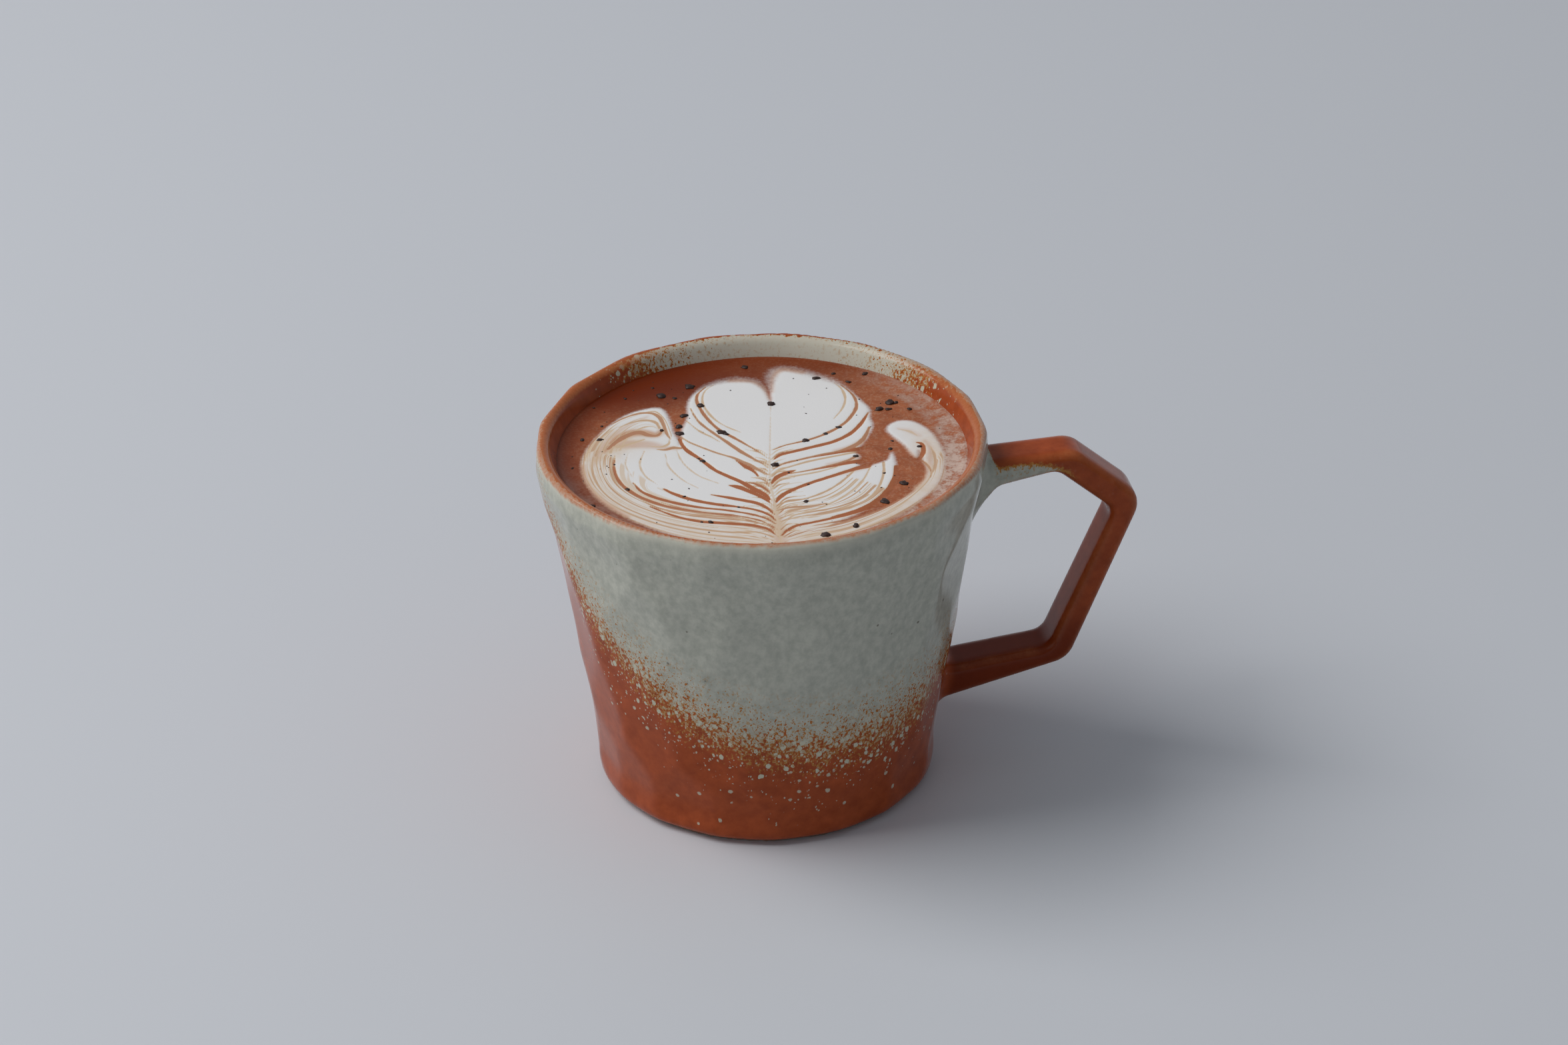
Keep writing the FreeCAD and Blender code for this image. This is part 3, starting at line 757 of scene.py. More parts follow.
def number_lines(places, counts, strengths, curves):
    """Number the lines of one fan and write them where the fan lies."""
    passed = 0.0
    for first, last, count, strength in zip(curves[:-1], curves[1:], counts, strengths):
        a, b = flowing(first, 5), flowing(last, 5)
        inside = area(places, np.vstack([a, b[::-1]]))
        held = inside > -FAN_EDGE
        near = places[held]
        from_first, from_last = (np.abs(area(near, np.vstack([path, path[-2:0:-1]]))) for path in (a, b))
        share = from_first / np.maximum(from_first + from_last, 1e-6)
        amount = smooth_step(-FAN_EDGE, 0.5, inside[held]) * strength
        wins = amount > fan_weight[held]
        spots = np.where(held)[0][wins]
        fan_number[spots] = (passed + share * count)[wins]
        fan_weight[spots] = amount[wins]
        passed += count + NUMBER_GAP


fan_number = np.zeros(len(plan))
fan_weight = np.zeros(len(plan))
for counts, strengths, curves in (LEFT_FAN, RIGHT_FAN, RIM_FAN, CURL_FAN):
    number_lines(plan, counts, strengths, curves)
sweep = np.degrees(np.arctan2(plan[:, 1] - FAN_ORIGIN[1], plan[:, 0] - FAN_ORIGIN[0]))
print("fans cover", round(float((fan_weight > 0.1).mean()) * 100), "% of the skin")

# %% [markdown]
# The skin's height follows the same drawing. The milk stands a little over the crema, every line is a
# shallow valley, at the wall the drink climbs the glaze by surface tension, and the whole skin swells a
# little.

# %% The drink's height and side
CLIMB, CLIMB_WIDTH = 0.40, 1.1
MILK_RISE = 0.16
VALLEY_DEPTH = 0.10
SWELL = 0.05
CREMA_DROP = 0.12
FLOOR_GAP = 0.02


def drink_height():
    climb = CLIMB * np.exp(-np.maximum(DRINK_RADIUS - np.hypot(*plan.T), 0.0) / CLIMB_WIDTH)
    lift = MILK_RISE * smooth_step(-0.5, 0.9, milk)
    valley = VALLEY_DEPTH * smooth_step(-0.45, 0.25, canvas.inside) * canvas.tone
    swell = SWELL * np.sin(plan[:, 0] * 0.21 + 1.0) * np.cos(plan[:, 1] * 0.17)
    return DRINK_LEVEL - CREMA_DROP + climb + lift - valley + swell


def plug_profile():
    """Radius and height of the drink's hidden side, from under its edge down to the floor."""
    profile = [(cone_radius(z) - WALL + DRINK_TUCK, z) for z in (DRINK_LEVEL - 0.6, 50.0, 34.0, 20.0)]
    corner = cone_radius(FLOOR_HEIGHT + FLOOR_ROUND) - WALL - FLOOR_ROUND
    for turn in (15, 45, 75):
        angle = math.radians(turn)
        height = FLOOR_HEIGHT + FLOOR_ROUND * (1 - math.sin(angle))
        profile.append((corner + FLOOR_ROUND * math.cos(angle), height))
    return profile + [(corner, FLOOR_HEIGHT + FLOOR_GAP)]


print("the milk stands", MILK_RISE, "mm proud, and the edge climbs by", CLIMB, "mm")

# %% [markdown]
# A mesh can carry a number at each of its points, under a name that a material can ask for. So the drawing
# reaches the material without any picture: the milk's edge, the lines and their tone, the washes and the
# fans are all numbers on the drink's points. The hidden side gets plain values. The edge of the skin is
# marked sharp, or its shading would run round the corner.

# %% The drink's mesh
def add_point_values(mesh, name, values):
    layer = mesh.attributes.new(name, "FLOAT", "POINT")
    layer.data.foreach_set("value", np.asarray(values, np.float32))


def add_skin_values(mesh, table):
    """Values of the skin's points, each with the value that the hidden side gets."""
    hidden = len(mesh.vertices) - len(skin)
    for name, values, below in table:
        add_point_values(mesh, name, np.append(values, np.full(hidden, below)))


def make_drink():
    points = [np.column_stack([skin, drink_height()])]
    faces = [list(face) for face in top_faces]
    ring = list(rim)
    around = disc[rim] / np.linalg.norm(disc[rim], axis=1)[:, None]
    total = len(skin)
    for radius, z in plug_profile():
        points.append(np.column_stack([around * radius, np.full(len(rim), z)]))
        below = list(range(total, total + len(rim)))
        for number in range(len(rim)):
            after = (number + 1) % len(rim)
            faces.append([ring[after], ring[number], below[number], below[after]])
        ring = below
        total += len(rim)
    points.append(np.array([[0.0, 0.0, FLOOR_HEIGHT + FLOOR_GAP]]))
    for number in range(len(rim)):
        faces.append([ring[(number + 1) % len(rim)], ring[number], total])
    points = np.vstack(points)
    mesh = bpy.data.meshes.new("drink")
    mesh.from_pydata((points * MM).tolist(), [], faces)
    mesh.validate()
    mesh.update()
    wash_amount = smooth_step(-0.95, 0.7, wash.inside) * wash.tone
    add_skin_values(mesh, [
        ("milk", milk, -5.0), ("line", canvas.inside, -1.0), ("tone", canvas.tone, 0.0),
        ("wash", wash_amount, 0.0), ("fan_number", fan_number, 0.0), ("fan_weight", fan_weight, 0.0),
        ("sweep", sweep, 0.0),
    ])
    shade_smooth(mesh)
    sharp = mesh.attributes.new("sharp_edge", "BOOLEAN", "EDGE")
    sharp.data.foreach_set("value", np.isin(mesh_edges(mesh), rim).all(axis=1))
    print("drink:", len(mesh.polygons), "faces, highest point", round(float(points[:, 2].max()), 2), "mm")
    return show("poured_drink", mesh), points


def lay_out_top(mesh, points):
    """The top gets nearly the whole UV map, and the hidden side a small corner of it."""
    top = len(skin)
    places = points[:, :2] / (2.04 * (DRINK_RADIUS + DRINK_TUCK))
    places[:top] = 0.5 + places[:top]
    places[top:] = 0.03 + 0.02 * places[top:]
    corners = np.empty(len(mesh.loops), int)
    mesh.loops.foreach_get("vertex_index", corners)
    layer = mesh.uv_layers.new(name="OFBake")
    layer.data.foreach_set("uv", places[corners].astype(np.float32).ravel())


drink, drink_points = make_drink()
lay_out_top(drink.data, drink_points)
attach(drink, BODY)
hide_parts("mocha")

# %% [markdown]
# Materials are node trees. Small helpers keep the code short enough to read: one places a node and sets its
# sockets, a few stand for sums and blends, and one starts a node group with named inputs and outputs. Every
# noise here swings about one half, so stir moves a value up and down by a noise without shifting it on the
# whole.

# %% Node helpers
def set_inputs(tree, node, inputs):
    """Each named input takes a value, or the output of another node."""
    for name, value in inputs.items():
        socket = node.inputs[name]
        if isinstance(value, bpy.types.NodeSocket):
            tree.links.new(value, socket)
        else:
            socket.default_value = value


def place(tree, kind, inputs=None, **settings):
    """A node of this kind, with its settings and its inputs."""
    node = tree.nodes.new(kind)
    for name, value in settings.items():
        setattr(node, name, value)
    set_inputs(tree, node, inputs or {})
    return node


def maths(tree, operation, *values, clamp=False):
    node = place(tree, "ShaderNodeMath", dict(enumerate(values)), operation=operation, use_clamp=clamp)
    return node.outputs[0]


def vector_maths(tree, operation, inputs):
    return place(tree, "ShaderNodeVectorMath", inputs, operation=operation).outputs[0]


def times(tree, value, factor, clamp=False):
    return maths(tree, "MULTIPLY", value, factor, clamp=clamp)


def times_plus(tree, value, factor, extra, clamp=False):
    """The value times the factor, plus the extra."""
    return maths(tree, "MULTIPLY_ADD", value, factor, extra, clamp=clamp)


def stir(tree, value, noise, strength):
    """The value, moved up and down by a noise."""
    return times_plus(tree, maths(tree, "SUBTRACT", noise, 0.5), strength, value)


def blend(tree, amount, first, second):
    """The second colour over the first."""
    return place(tree, "ShaderNodeMix", {0: amount, 6: first, 7: second}, data_type="RGBA").outputs[2]


def rise(tree, value, low, high, out_low=0.0, out_high=1.0):
    """A soft step from low to high."""
    inputs = {0: value, 1: low, 2: high, 3: out_low, 4: out_high}
    return place(tree, "ShaderNodeMapRange", inputs, interpolation_type="SMOOTHSTEP").outputs[0]


def value_of(tree, name):
    """A number that the mesh carries at its points."""
    return place(tree, "ShaderNodeAttribute", attribute_name=name).outputs["Fac"]


def new_material(name):
    material = bpy.data.materials.new(name)
    material.use_nodes = True
    tree = material.node_tree
    return material, tree, tree.nodes["Principled BSDF"]


def start_group(name, inputs, output):
    """A shader node group with these named inputs and one output number."""
    group = bpy.data.node_groups.new(name, "ShaderNodeTree")
    group.interface.new_socket("Place", in_out="INPUT", socket_type="NodeSocketVector")
    for label, default in inputs.items():
        socket = group.interface.new_socket(label, in_out="INPUT", socket_type="NodeSocketFloat")
        socket.default_value = default
    group.interface.new_socket(output, in_out="OUTPUT", socket_type="NodeSocketFloat")
    return group, group.nodes.new("NodeGroupInput").outputs, group.nodes.new("NodeGroupOutput").inputs


def use_group(tree, group, *values):
    """The output of a group whose inputs take these values, in their order."""
    return place(tree, "ShaderNodeGroup", dict(enumerate(values)), node_tree=group).outputs[0]


def bump(tree, height, strength):
    """A fine relief, a tenth of a millimetre deep at most."""
    inputs = {"Strength": strength, "Distance": 0.1 * MM, "Height": height}
    return place(tree, "ShaderNodeBump", inputs).outputs[0]


def millimetres(tree):
    """Places on the piece itself, in millimetres."""
    where = place(tree, "ShaderNodeTexCoord").outputs["Object"]
    return vector_maths(tree, "SCALE", {0: where, "Scale": 1.0 / MM})


print("node helpers ready")

# %% [markdown]
# Two effects come back in the finishes here, so each is a node group. Mottle is the slow cloudiness of
# glaze, foam and chocolate. It takes the place, the size of a cloud in millimetres, its detail and its
# contrast. Drops are round spots thrown at random: sprayed glaze on the wall, and bubbles in the crema. They
# take the place, their spacing, the share of places that hold a drop, their size and a wobble.

# %% Mottle
def mottle_group():
    group, source, target = start_group("mottle", {"Size": 2.0, "Detail": 3.0, "Contrast": 1.0}, "Amount")
    scale = maths(group, "DIVIDE", 1.0, source["Size"])
    inputs = {"Vector": source["Place"], "Scale": scale, "Detail": source["Detail"], "Roughness": 0.6}
    noise = place(group, "ShaderNodeTexNoise", inputs)
    centred = maths(group, "SUBTRACT", noise.outputs["Fac"], 0.5)
    stretched = times_plus(group, centred, source["Contrast"], 0.5, clamp=True)
    group.links.new(stretched, target["Amount"])
    return group


MOTTLE = mottle_group()
print("group:", MOTTLE.name)

# %% Drops
def drops_group():
    inputs = {"Spacing": 1.0, "Share": 0.5, "Size": 0.35, "Wobble": 0.25}
    group, source, target = start_group("drops", inputs, "Mask")
    noise = place(group, "ShaderNodeTexNoise", {"Vector": source["Place"], "Scale": 2.2, "Detail": 2.0})
    shift = vector_maths(group, "SUBTRACT", {0: noise.outputs["Color"], 1: (0.5, 0.5, 0.5)})
    wobble = vector_maths(group, "SCALE", {0: shift, "Scale": source["Wobble"]})
    moved = vector_maths(group, "ADD", {0: source["Place"], 1: wobble})
    scale = maths(group, "DIVIDE", 1.0, source["Spacing"])
    cells = place(group, "ShaderNodeTexVoronoi", {"Vector": moved, "Scale": scale})
    chance = place(group, "ShaderNodeSeparateColor", {0: cells.outputs["Color"]})
    held = maths(group, "LESS_THAN", chance.outputs[0], source["Share"])
    radius = times(group, source["Size"], times_plus(group, chance.outputs[1], 0.75, 0.35))
    gap = maths(group, "SUBTRACT", radius, cells.outputs["Distance"])
    group.links.new(times(group, rise(group, gap, -0.05, 0.06), held), target["Mask"])
    return group


DROPS = drops_group()
print("group:", DROPS.name)

# %% [markdown]
# Milk foam is matt and nearly white, crema is red-brown and wetter. The lines take the colour of crema
# where they are strong, and thin to tan where milk shows through. Close to the wall the crema breaks into a
# mottled, pinkish ring of small bubbles. At the far side and along the left edge the crema is darker:
# that is painted shade of the wall and the lip.

# %% The drink's material
MILK_WHITE = (0.86, 0.86, 0.86, 1.0)
PALE_TAN = (0.73, 0.56, 0.385, 1.0)
LINE_BROWN = (0.45, 0.15, 0.065, 1.0)
CREMA = (0.47, 0.148, 0.060, 1.0)
# Darkest crema: the dark end of the crema's mottle, and the painted shade of the wall and lip at the far side
# and left edge
DARK_AND_SHADED_CREMA = (0.16, 0.022, 0.003, 1.0)
WASH_BROWN = (0.62, 0.31, 0.16, 1.0)
HAZE_PINK = (0.65, 0.50, 0.42, 1.0)
RING_PINK = (0.52, 0.36, 0.29, 1.0)


def hill(x, y, middle, size):
    """1 at the middle and fading to 0 all round it."""
    return np.exp(-((x - middle[0]) ** 2 + (y - middle[1]) ** 2) / size)


def crema_values():
    """How thin the milk has spread, how much painted shade of the wall and lip falls on the crema, and how
    much of the ring there is.
    """
    x, y = plan.T
    radius = np.hypot(x, y)
    angle = np.degrees(np.arctan2(y, x))
    # Painted shade: the wall and the lip shade the crema at the far side and along the left edge
    far = smooth_step(17.0, 34.0, y - 0.3 * x) * (0.72 + 0.28 * smooth_step(5.0, -20.0, x))
    left = smooth_step(32.0, 39.0, radius) * smooth_step(100.0, 150.0, np.abs(angle)) * 0.8
    wall_shade = np.clip(np.maximum(far, left), 0.0, 1.0)
    right = smooth_step(75.0, 35.0, np.abs(angle + 5.0)) * smooth_step(34.8, 37.0, radius)
    haze = 0.9 * np.exp(-(((angle + 14.0) / 24.0) ** 2)) * smooth_step(34.0, 36.5, radius)
    front = smooth_step(60.0, 110.0, -angle) * smooth_step(179.0, 140.0, -angle)
    front = front * smooth_step(35.5, 38.0, radius)
    ring = np.clip(right + 0.5 * front, 0.0, 1.0) + haze
    spread = smooth_step(26.0, 35.0, radius) * smooth_step(16.0, 4.0, y) * 0.75
    low = smooth_step(-19.0, -34.0, y) * 0.7
    swirl = hill(x, y, (-26.5, 6.5), 20.0) + 0.7 * hill(x, y, (-31.5, 1.0), 16.0)
    thin = np.clip(np.maximum(spread, low) + swirl, 0.0, 1.0)
    return ("thin", thin, 0.0), ("wall_shade", wall_shade, 1.0), ("ring", ring, 0.0)


more_values = crema_values()
add_skin_values(drink.data, more_values)
print("added to the drink's points:", ", ".join(name for name, _, _ in more_values))

# %% [markdown]
# The material then stacks the colours: mottled crema, painted shade of the wall and lip, freckles and the
# ring, and over them the milk with its veil, washes, fans and lines. Foam with milk in it is a little duller
# than bare crema, and bubbles give the skin a very fine grain.

# %% The drink's colours
def drink_material():
    material, tree, shader = new_material("milk_foam_and_crema")
    where = millimetres(tree)
    clouds = use_group(tree, MOTTLE, where, 3.2, 4.0, 1.7)
    grain = use_group(tree, MOTTLE, where, 0.55, 3.0, 1.8)
    bubbles = use_group(tree, DROPS, where, 0.9, 0.35, 0.28, 0.1)

    wall_shade = value_of(tree, "wall_shade")
    mottled_crema = blend(tree, times(tree, clouds, 0.55), CREMA, DARK_AND_SHADED_CREMA)
    # Painted shade of the wall and lip darkens the crema at the far side and the left edge
    brown = blend(tree, wall_shade, mottled_crema, DARK_AND_SHADED_CREMA)
    freckle = times(tree, rise(tree, grain, 0.42, 0.78), 0.16)
    freckle = times(tree, freckle, maths(tree, "SUBTRACT", 1.0, wall_shade))
    brown = blend(tree, freckle, brown, PALE_TAN)
    patches = rise(tree, times_plus(tree, grain, 0.4, clouds), 0.35, 1.0)
    ring = times(tree, value_of(tree, "ring"), patches)
    brown = blend(tree, times(tree, ring, 0.8, clamp=True), brown, RING_PINK)
    brown = blend(tree, rise(tree, ring, 0.6, 2.0), brown, HAZE_PINK)

    milky = rise(tree, stir(tree, value_of(tree, "milk"), grain, 0.35), -0.65, 0.65)
    veil = times(tree, value_of(tree, "thin"), times_plus(tree, clouds, 0.7, 0.25))
    milk_colour = blend(tree, veil, MILK_WHITE, PALE_TAN)
    milk_colour = blend(tree, times(tree, value_of(tree, "wash"), 0.9), milk_colour, WASH_BROWN)

    wander = stir(tree, value_of(tree, "line"), clouds, 0.25)
    line = times(tree, rise(tree, wander, -0.24, 0.10), value_of(tree, "tone"))
    along = times(tree, value_of(tree, "sweep"), 0.035)
    count = place(tree, "ShaderNodeCombineXYZ", {0: value_of(tree, "fan_number"), 1: along}).outputs[0]
    inputs = {"Vector": count, "Scale": 1.35, "Detail": 2.0}
    strands = place(tree, "ShaderNodeTexNoise", inputs, noise_dimensions="2D").outputs["Fac"]
    fans = times(tree, times(tree, rise(tree, strands, 0.46, 0.62), value_of(tree, "fan_weight")), 0.72)
    line = maths(tree, "MAXIMUM", line, fans)
    tan = blend(tree, rise(tree, line, 0.0, 0.42), milk_colour, PALE_TAN)
    marked = blend(tree, rise(tree, line, 0.30, 0.85), tan, LINE_BROWN)
    set_inputs(tree, shader, {
        "Base Color": blend(tree, milky, brown, marked),
        "Roughness": times_plus(tree, milky, 0.22, 0.28),
        "Normal": bump(tree, times_plus(tree, bubbles, 0.5, grain), 0.12),
        "IOR": 1.33,
        "Specular IOR Level": 0.3,
    })
    return material


drink.data.materials.append(drink_material())
print("material on the drink:", drink.data.materials[0].name)

# %% [markdown]
# Chocolate is dusted over the cup. Most of it is fine powder that melts at once. What stays are grains:
# dark, dull, broken shapes of up to two millimetres, half sunk in the foam. Each one is a small ball pushed
# about at random and flattened. The large ones lie where the pour carried them, mostly into the brown
# lines, and the finest are scattered with a seed.

# %% Chocolate grains
BIG, MIDDLE, SMALL = 0.86, 0.56, 0.32
GRAINS = [
    (-14.5, 29, 1.25 * BIG), (-20.3, 25, 1.3 * BIG), (-17.5, 24, MIDDLE), (-3.3, 37, BIG), (2, 20.8, BIG),
    (-12.2, 20.4, BIG), (-15.6, 16.4, BIG), (-16.6, 11.8, BIG), (-16.4, 8.9, BIG), (-20, 10.2, MIDDLE),
    (-8, 9.1, BIG), (-7.2, 8.3, MIDDLE), (-35.8, 7, MIDDLE), (-32.2, 6.7, MIDDLE), (-29.2, -3.7, SMALL),
    (-37.5, -4.7, SMALL), (-26.5, -13.8, MIDDLE), (-33.2, -20.2, MIDDLE), (-11.8, -2.6, MIDDLE),
    (-12.6, -1.6, SMALL), (-15.3, -17, SMALL), (-4.7, -21.6, SMALL), (-10.2, -27.3, MIDDLE),
    (-11.9, -27.3, SMALL), (11.3, 31.6, BIG), (14.8, 33.7, MIDDLE), (17.8, 30, MIDDLE),
    (21.3, 33.2, MIDDLE), (26, 20.8, 1.2 * BIG), (27.2, 20.8, MIDDLE), (23.7, 18, BIG), (25.6, 18, MIDDLE),
    (29.8, 18, MIDDLE), (15.4, 10.5, MIDDLE), (12.8, 7.8, MIDDLE), (8.7, 5.1, BIG), (2.5, -4.8, BIG),
    (25.5, 1.3, MIDDLE), (26, 4.6, SMALL), (31.3, 1.8, MIDDLE), (18.6, -1.5, MIDDLE), (5.2, -7.9, SMALL),
    (24, -8.8, SMALL), (27.7, -12.8, 1.1 * BIG), (23.8, -20.1, BIG), (9, -12.8, SMALL),
    (8.5, -19.8, MIDDLE), (18, -29.8, BIG), (12, -33.2, BIG), (-27.5, 24.2, SMALL), (-22, 28.6, SMALL),
    (-33.8, 20.2, SMALL), (-32, 12.6, SMALL),
]
POWDER = 70
POWDER_REACH = 38.5
POWDER_SIZES = (0.09, 0.2)
RAISED = 0.04
CHOCOLATE = (0.012, 0.005, 0.004, 1.0)
CHOCOLATE_DUST = (0.06, 0.025, 0.018, 1.0)


def grain_shape(random, size, bumps):
    """One broken grain, about the origin."""
    points = bumps.copy()
    points *= (1.0 + random.uniform(-0.28, 0.28, len(points)))[:, None]
    points *= size * np.array([random.uniform(*span) for span in ((0.75, 1.25), (0.7, 1.0), (0.32, 0.5))])
    turn = random.uniform(0, 2 * math.pi)
    c, s = math.cos(turn), math.sin(turn)
    return points @ np.array([[c, s, 0], [-s, c, 0], [0, 0, 1]])


def make_grains(seed=4):
    random = np.random.default_rng(seed)
    ball = bmesh.new()
    bmesh.ops.create_icosphere(ball, subdivisions=2, radius=1.0)
    bumps = np.array([vertex.co[:] for vertex in ball.verts])
    triangles = [[vertex.index for vertex in face.verts] for face in ball.faces]
    ball.free()
    spots = list(GRAINS)
    for _ in range(POWDER):
        angle = random.uniform(0, 2 * math.pi)
        radius = POWDER_REACH * math.sqrt(random.uniform(0.02, 1.0))
        spots.append((radius * math.cos(angle), radius * math.sin(angle), random.uniform(*POWDER_SIZES)))
    flat = turned([spot[:2] for spot in spots], -FIGURE_TURN)
    points = []
    faces = []
    for (x, y), (_, _, size) in zip(flat, spots):
        nearest = int(np.argmin((skin[:, 0] - x) ** 2 + (skin[:, 1] - y) ** 2))
        shape = grain_shape(random, size, bumps)
        shape += np.array([x, y, drink_points[nearest, 2] + RAISED * size])
        start = len(points) * len(bumps)
        faces += [[start + corner for corner in triangle] for triangle in triangles]
        points.append(shape)
    mesh = bpy.data.meshes.new("grains")
    mesh.from_pydata((np.vstack(points) * MM).tolist(), [], faces)
    mesh.update()
    shade_smooth(mesh)
    print(len(spots), "grains,", len(faces), "faces")
    return show("chocolate_grains", mesh)


grains = make_grains()
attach(grains, BODY)


def chocolate_material():
    material, tree, shader = new_material("dark_chocolate")
    amount = use_group(tree, MOTTLE, millimetres(tree), 0.4, 2.0, 1.5)
    colour = blend(tree, amount, CHOCOLATE, CHOCOLATE_DUST)
    set_inputs(tree, shader, {"Base Color": colour, "Roughness": 0.55})
    return material


grains.data.materials.append(chocolate_material())

# %% [markdown]
# Two glazes meet on the mug. It was dipped in an iron glaze that fires red-orange, and then a celadon, a
# grey-green ash glaze, was sprayed over it from the drinker's side. So the celadon covers the front, fades
# downwards in drops, and lands on the far inside wall, while the back, the foot and most of the handle stay
# red. Where the border runs can't be said with one height, so the mesh carries it: how many millimetres
# each point lies inside the celadon. The border is given as angles round the mug, in degrees, and heights,
# and FAR_WALL and NEAR_LIP are directions in the same degrees. On the handle only the front of the upper bar
# caught some spray, and the rest counts as far outside the celadon.

# %% Where the celadon lies
FAR_WALL = 84.0
NEAR_LIP = -85.0
HANDLE_START = 30.0
UNGLAZED = -60.0
BORDER = [
    (-180, 72), (-165, 66), (-150, 52), (-135, 42), (-120, 36), (-105, 31), (-90, 27.5), (-75, 26),
    (-60, 26), (-45, 26.5), (-30, 29), (-10, 34), (15, 44), (35, 60), (60, 84), (90, 96), (130, 96),
    (160, 82), (180, 72),
]


def turned_from_drinker(points):
    """Angle round the mug, in degrees, in the plan that faces the drinker."""
    return np.degrees(np.angle(np.exp(1j * (np.arctan2(points[:, 1], points[:, 0]) + FIGURE_TURN))))


def facing(points, direction):
    """1 on the side of the mug that lies in this direction, and -1 on the opposite side."""
    return np.cos(np.radians(turned_from_drinker(points) - direction))


def beyond_wall(points):
    """How far a point stands outside the plain cone. In the cavity this is negative."""
    return np.hypot(points[:, 0], points[:, 1]) - cone_radius(points[:, 2])


def on_handle(points, low, high):
    return smooth_step(low, high, beyond_wall(points)) * (points[:, 0] > HANDLE_START)


def celadon_depth(points):
    """Millimetres inside the celadon: one rule each for the outside, the cavity and the handle."""
    x, y, z = points.T
    turns, heights = np.array(BORDER, float).T
    outside = z - np.interp(turned_from_drinker(points), turns, heights)
    inside = (facing(points, FAR_WALL) - 0.80) * 55.0 + (z - 72.0) * 0.6
    hollow = smooth_step(2.0, 2.8, -beyond_wall(points))
    depth = outside * (1 - hollow) + inside * hollow
    handle = on_handle(points, 1.2, 3.5)
    front = smooth_step(2.8, 4.7, -y)
    face = -15.0 + 27.0 * smooth_step(68.0, 54.0, x) * smooth_step(44.0, 50.0, z)
    face = face - 24.0 * smooth_step(61.4, 67.4, z)
    strap = front * (face - UNGLAZED) + UNGLAZED
    return depth * (1 - handle) + strap * handle


def pooled(points):
    """Where the celadon lies thick and pale: on the far inside wall and, less so, round the lip."""
    hollow = smooth_step(1.3, 2.1, -beyond_wall(points))
    below_lip = smooth_step(72.6, 73.8, points[:, 2]) * (1.0 - hollow) * 0.55
    return np.maximum(smooth_step(0.6, 0.9, facing(points, FAR_WALL)) * hollow, below_lip)


print("the celadon reaches down to", min(height for _, height in BORDER), "mm above the table")

# %% [markdown]
# Melted glaze creeps away from every sharp edge, so the lip and the edges of the strap show the clay's
# orange through a thin skin of glaze. How sharp an edge is can be read off the mesh: at an edge, a point
# stands out from the middle of its neighbours.

# %% Sharp edges
def unit(arrows):
    return arrows / np.maximum(np.linalg.norm(arrows, axis=1), 1e-6)[:, None]


def standing_out(points, edges, rounds=3):
    """How far each point stands out from the points around it, spread over a few steps."""
    push = unit(slope(points))
    bend = ((points - neighbour_middle(points, edges)) * push).sum(1)
    field = np.stack([bend, bend, bend], axis=1)
    for _ in range(rounds):
        field = 0.4 * field + 0.6 * neighbour_middle(field, edges)
    return field[:, 0]


def thin_glaze(points, sharpness):
    """Where the glaze crept away: along the lip, mostly at its sides, and along the edges of the strap."""
    front = smooth_step(0.35, 0.95, facing(points, NEAR_LIP))
    far = smooth_step(0.55, 0.95, facing(points, FAR_WALL))
    start = LIP_HEIGHT - 1.15 + 0.72 * front
    lip = smooth_step(start, start + 0.28, points[:, 2]) * (1.0 - 0.92 * far)
    strap = on_handle(points, 1.0, 2.5) * smooth_step(0.022, 0.085, sharpness)
    return np.where(points[:, 2] > SHOULDER_HEIGHT, lip, 0.6 * strap)


mug_points = mesh_points(mug.data)
sharpness = standing_out(mug_points, mesh_edges(mug.data))
print("edges stand out by up to", round(float(sharpness.max()), 3), "mm")

# %% [markdown]
# The handle's red is darker where painted shade falls: on its inner side, facing the mug, on its lower bar
# and at its roots, and a little all over it, while the lit top of the upper bar keeps its full red. The mug
# stands on a ring that was wiped to bare clay. All of these are numbers on the mug's points again.

# %% The mug's point values
HOLE_MIDDLE = (57.0, 0.0, 42.0)
UPPER_BAR_TOP = 66.5


def handle_shade(points):
    """How much painted shade darkens the handle: most on its inner faces and lower bar, none on top of the
    upper bar.
    """
    to_hole = HOLE_MIDDLE - points
    to_hole[:, 1] = 0.0
    inner = smooth_step(0.1, 0.6, (slope(points) * unit(to_hole)).sum(1))
    lower = smooth_step(34.0, 22.0, points[:, 2])
    handle = on_handle(points, 0.3, 2.5)
    return np.maximum(0.12, np.maximum(0.5 * inner, lower)) * handle * (points[:, 2] < UPPER_BAR_TOP)


for name, values in (
    ("celadon", celadon_depth(mug_points)),
    ("brown", handle_shade(mug_points)),
    ("pooled", pooled(mug_points)),
    ("crest", thin_glaze(mug_points, sharpness)),
    ("clay", smooth_step(0.55, 0.15, mug_points[:, 2])),
):
    add_point_values(mug.data, name, values)
    print(name, "from", round(float(values.min()), 2), "to", round(float(values.max()), 2))

# %% [markdown]
# The border itself is made of drops. A noisy threshold on the celadon's depth gives islands and gaps: above
# zero is celadon, and just below the two glazes mix into an ochre fringe. Beyond it cells give round drops
# in three sizes, many near the border and few far below it. The celadon is cloudy and holds a few dark
# specks of iron.

# %% The glaze's material
CELADON_LIGHT = (0.565, 0.57, 0.49, 1.0)
CELADON_DARK = (0.375, 0.385, 0.33, 1.0)
CELADON_POOL = (0.62, 0.605, 0.51, 1.0)
OCHRE = (0.46, 0.23, 0.055, 1.0)
IRON_RED = (0.44, 0.085, 0.022, 1.0)
IRON_BROWN = (0.27, 0.046, 0.010, 1.0)
# The handle's red under painted shade
SHADED_IRON = (0.16, 0.019, 0.002, 1.0)
DROP_PALE = (0.56, 0.54, 0.42, 1.0)
IRON_SPECK = (0.07, 0.05, 0.035, 1.0)
THIN_ORANGE = (0.50, 0.17, 0.065, 1.0)
BARE_CLAY = (0.42, 0.33, 0.25, 1.0)


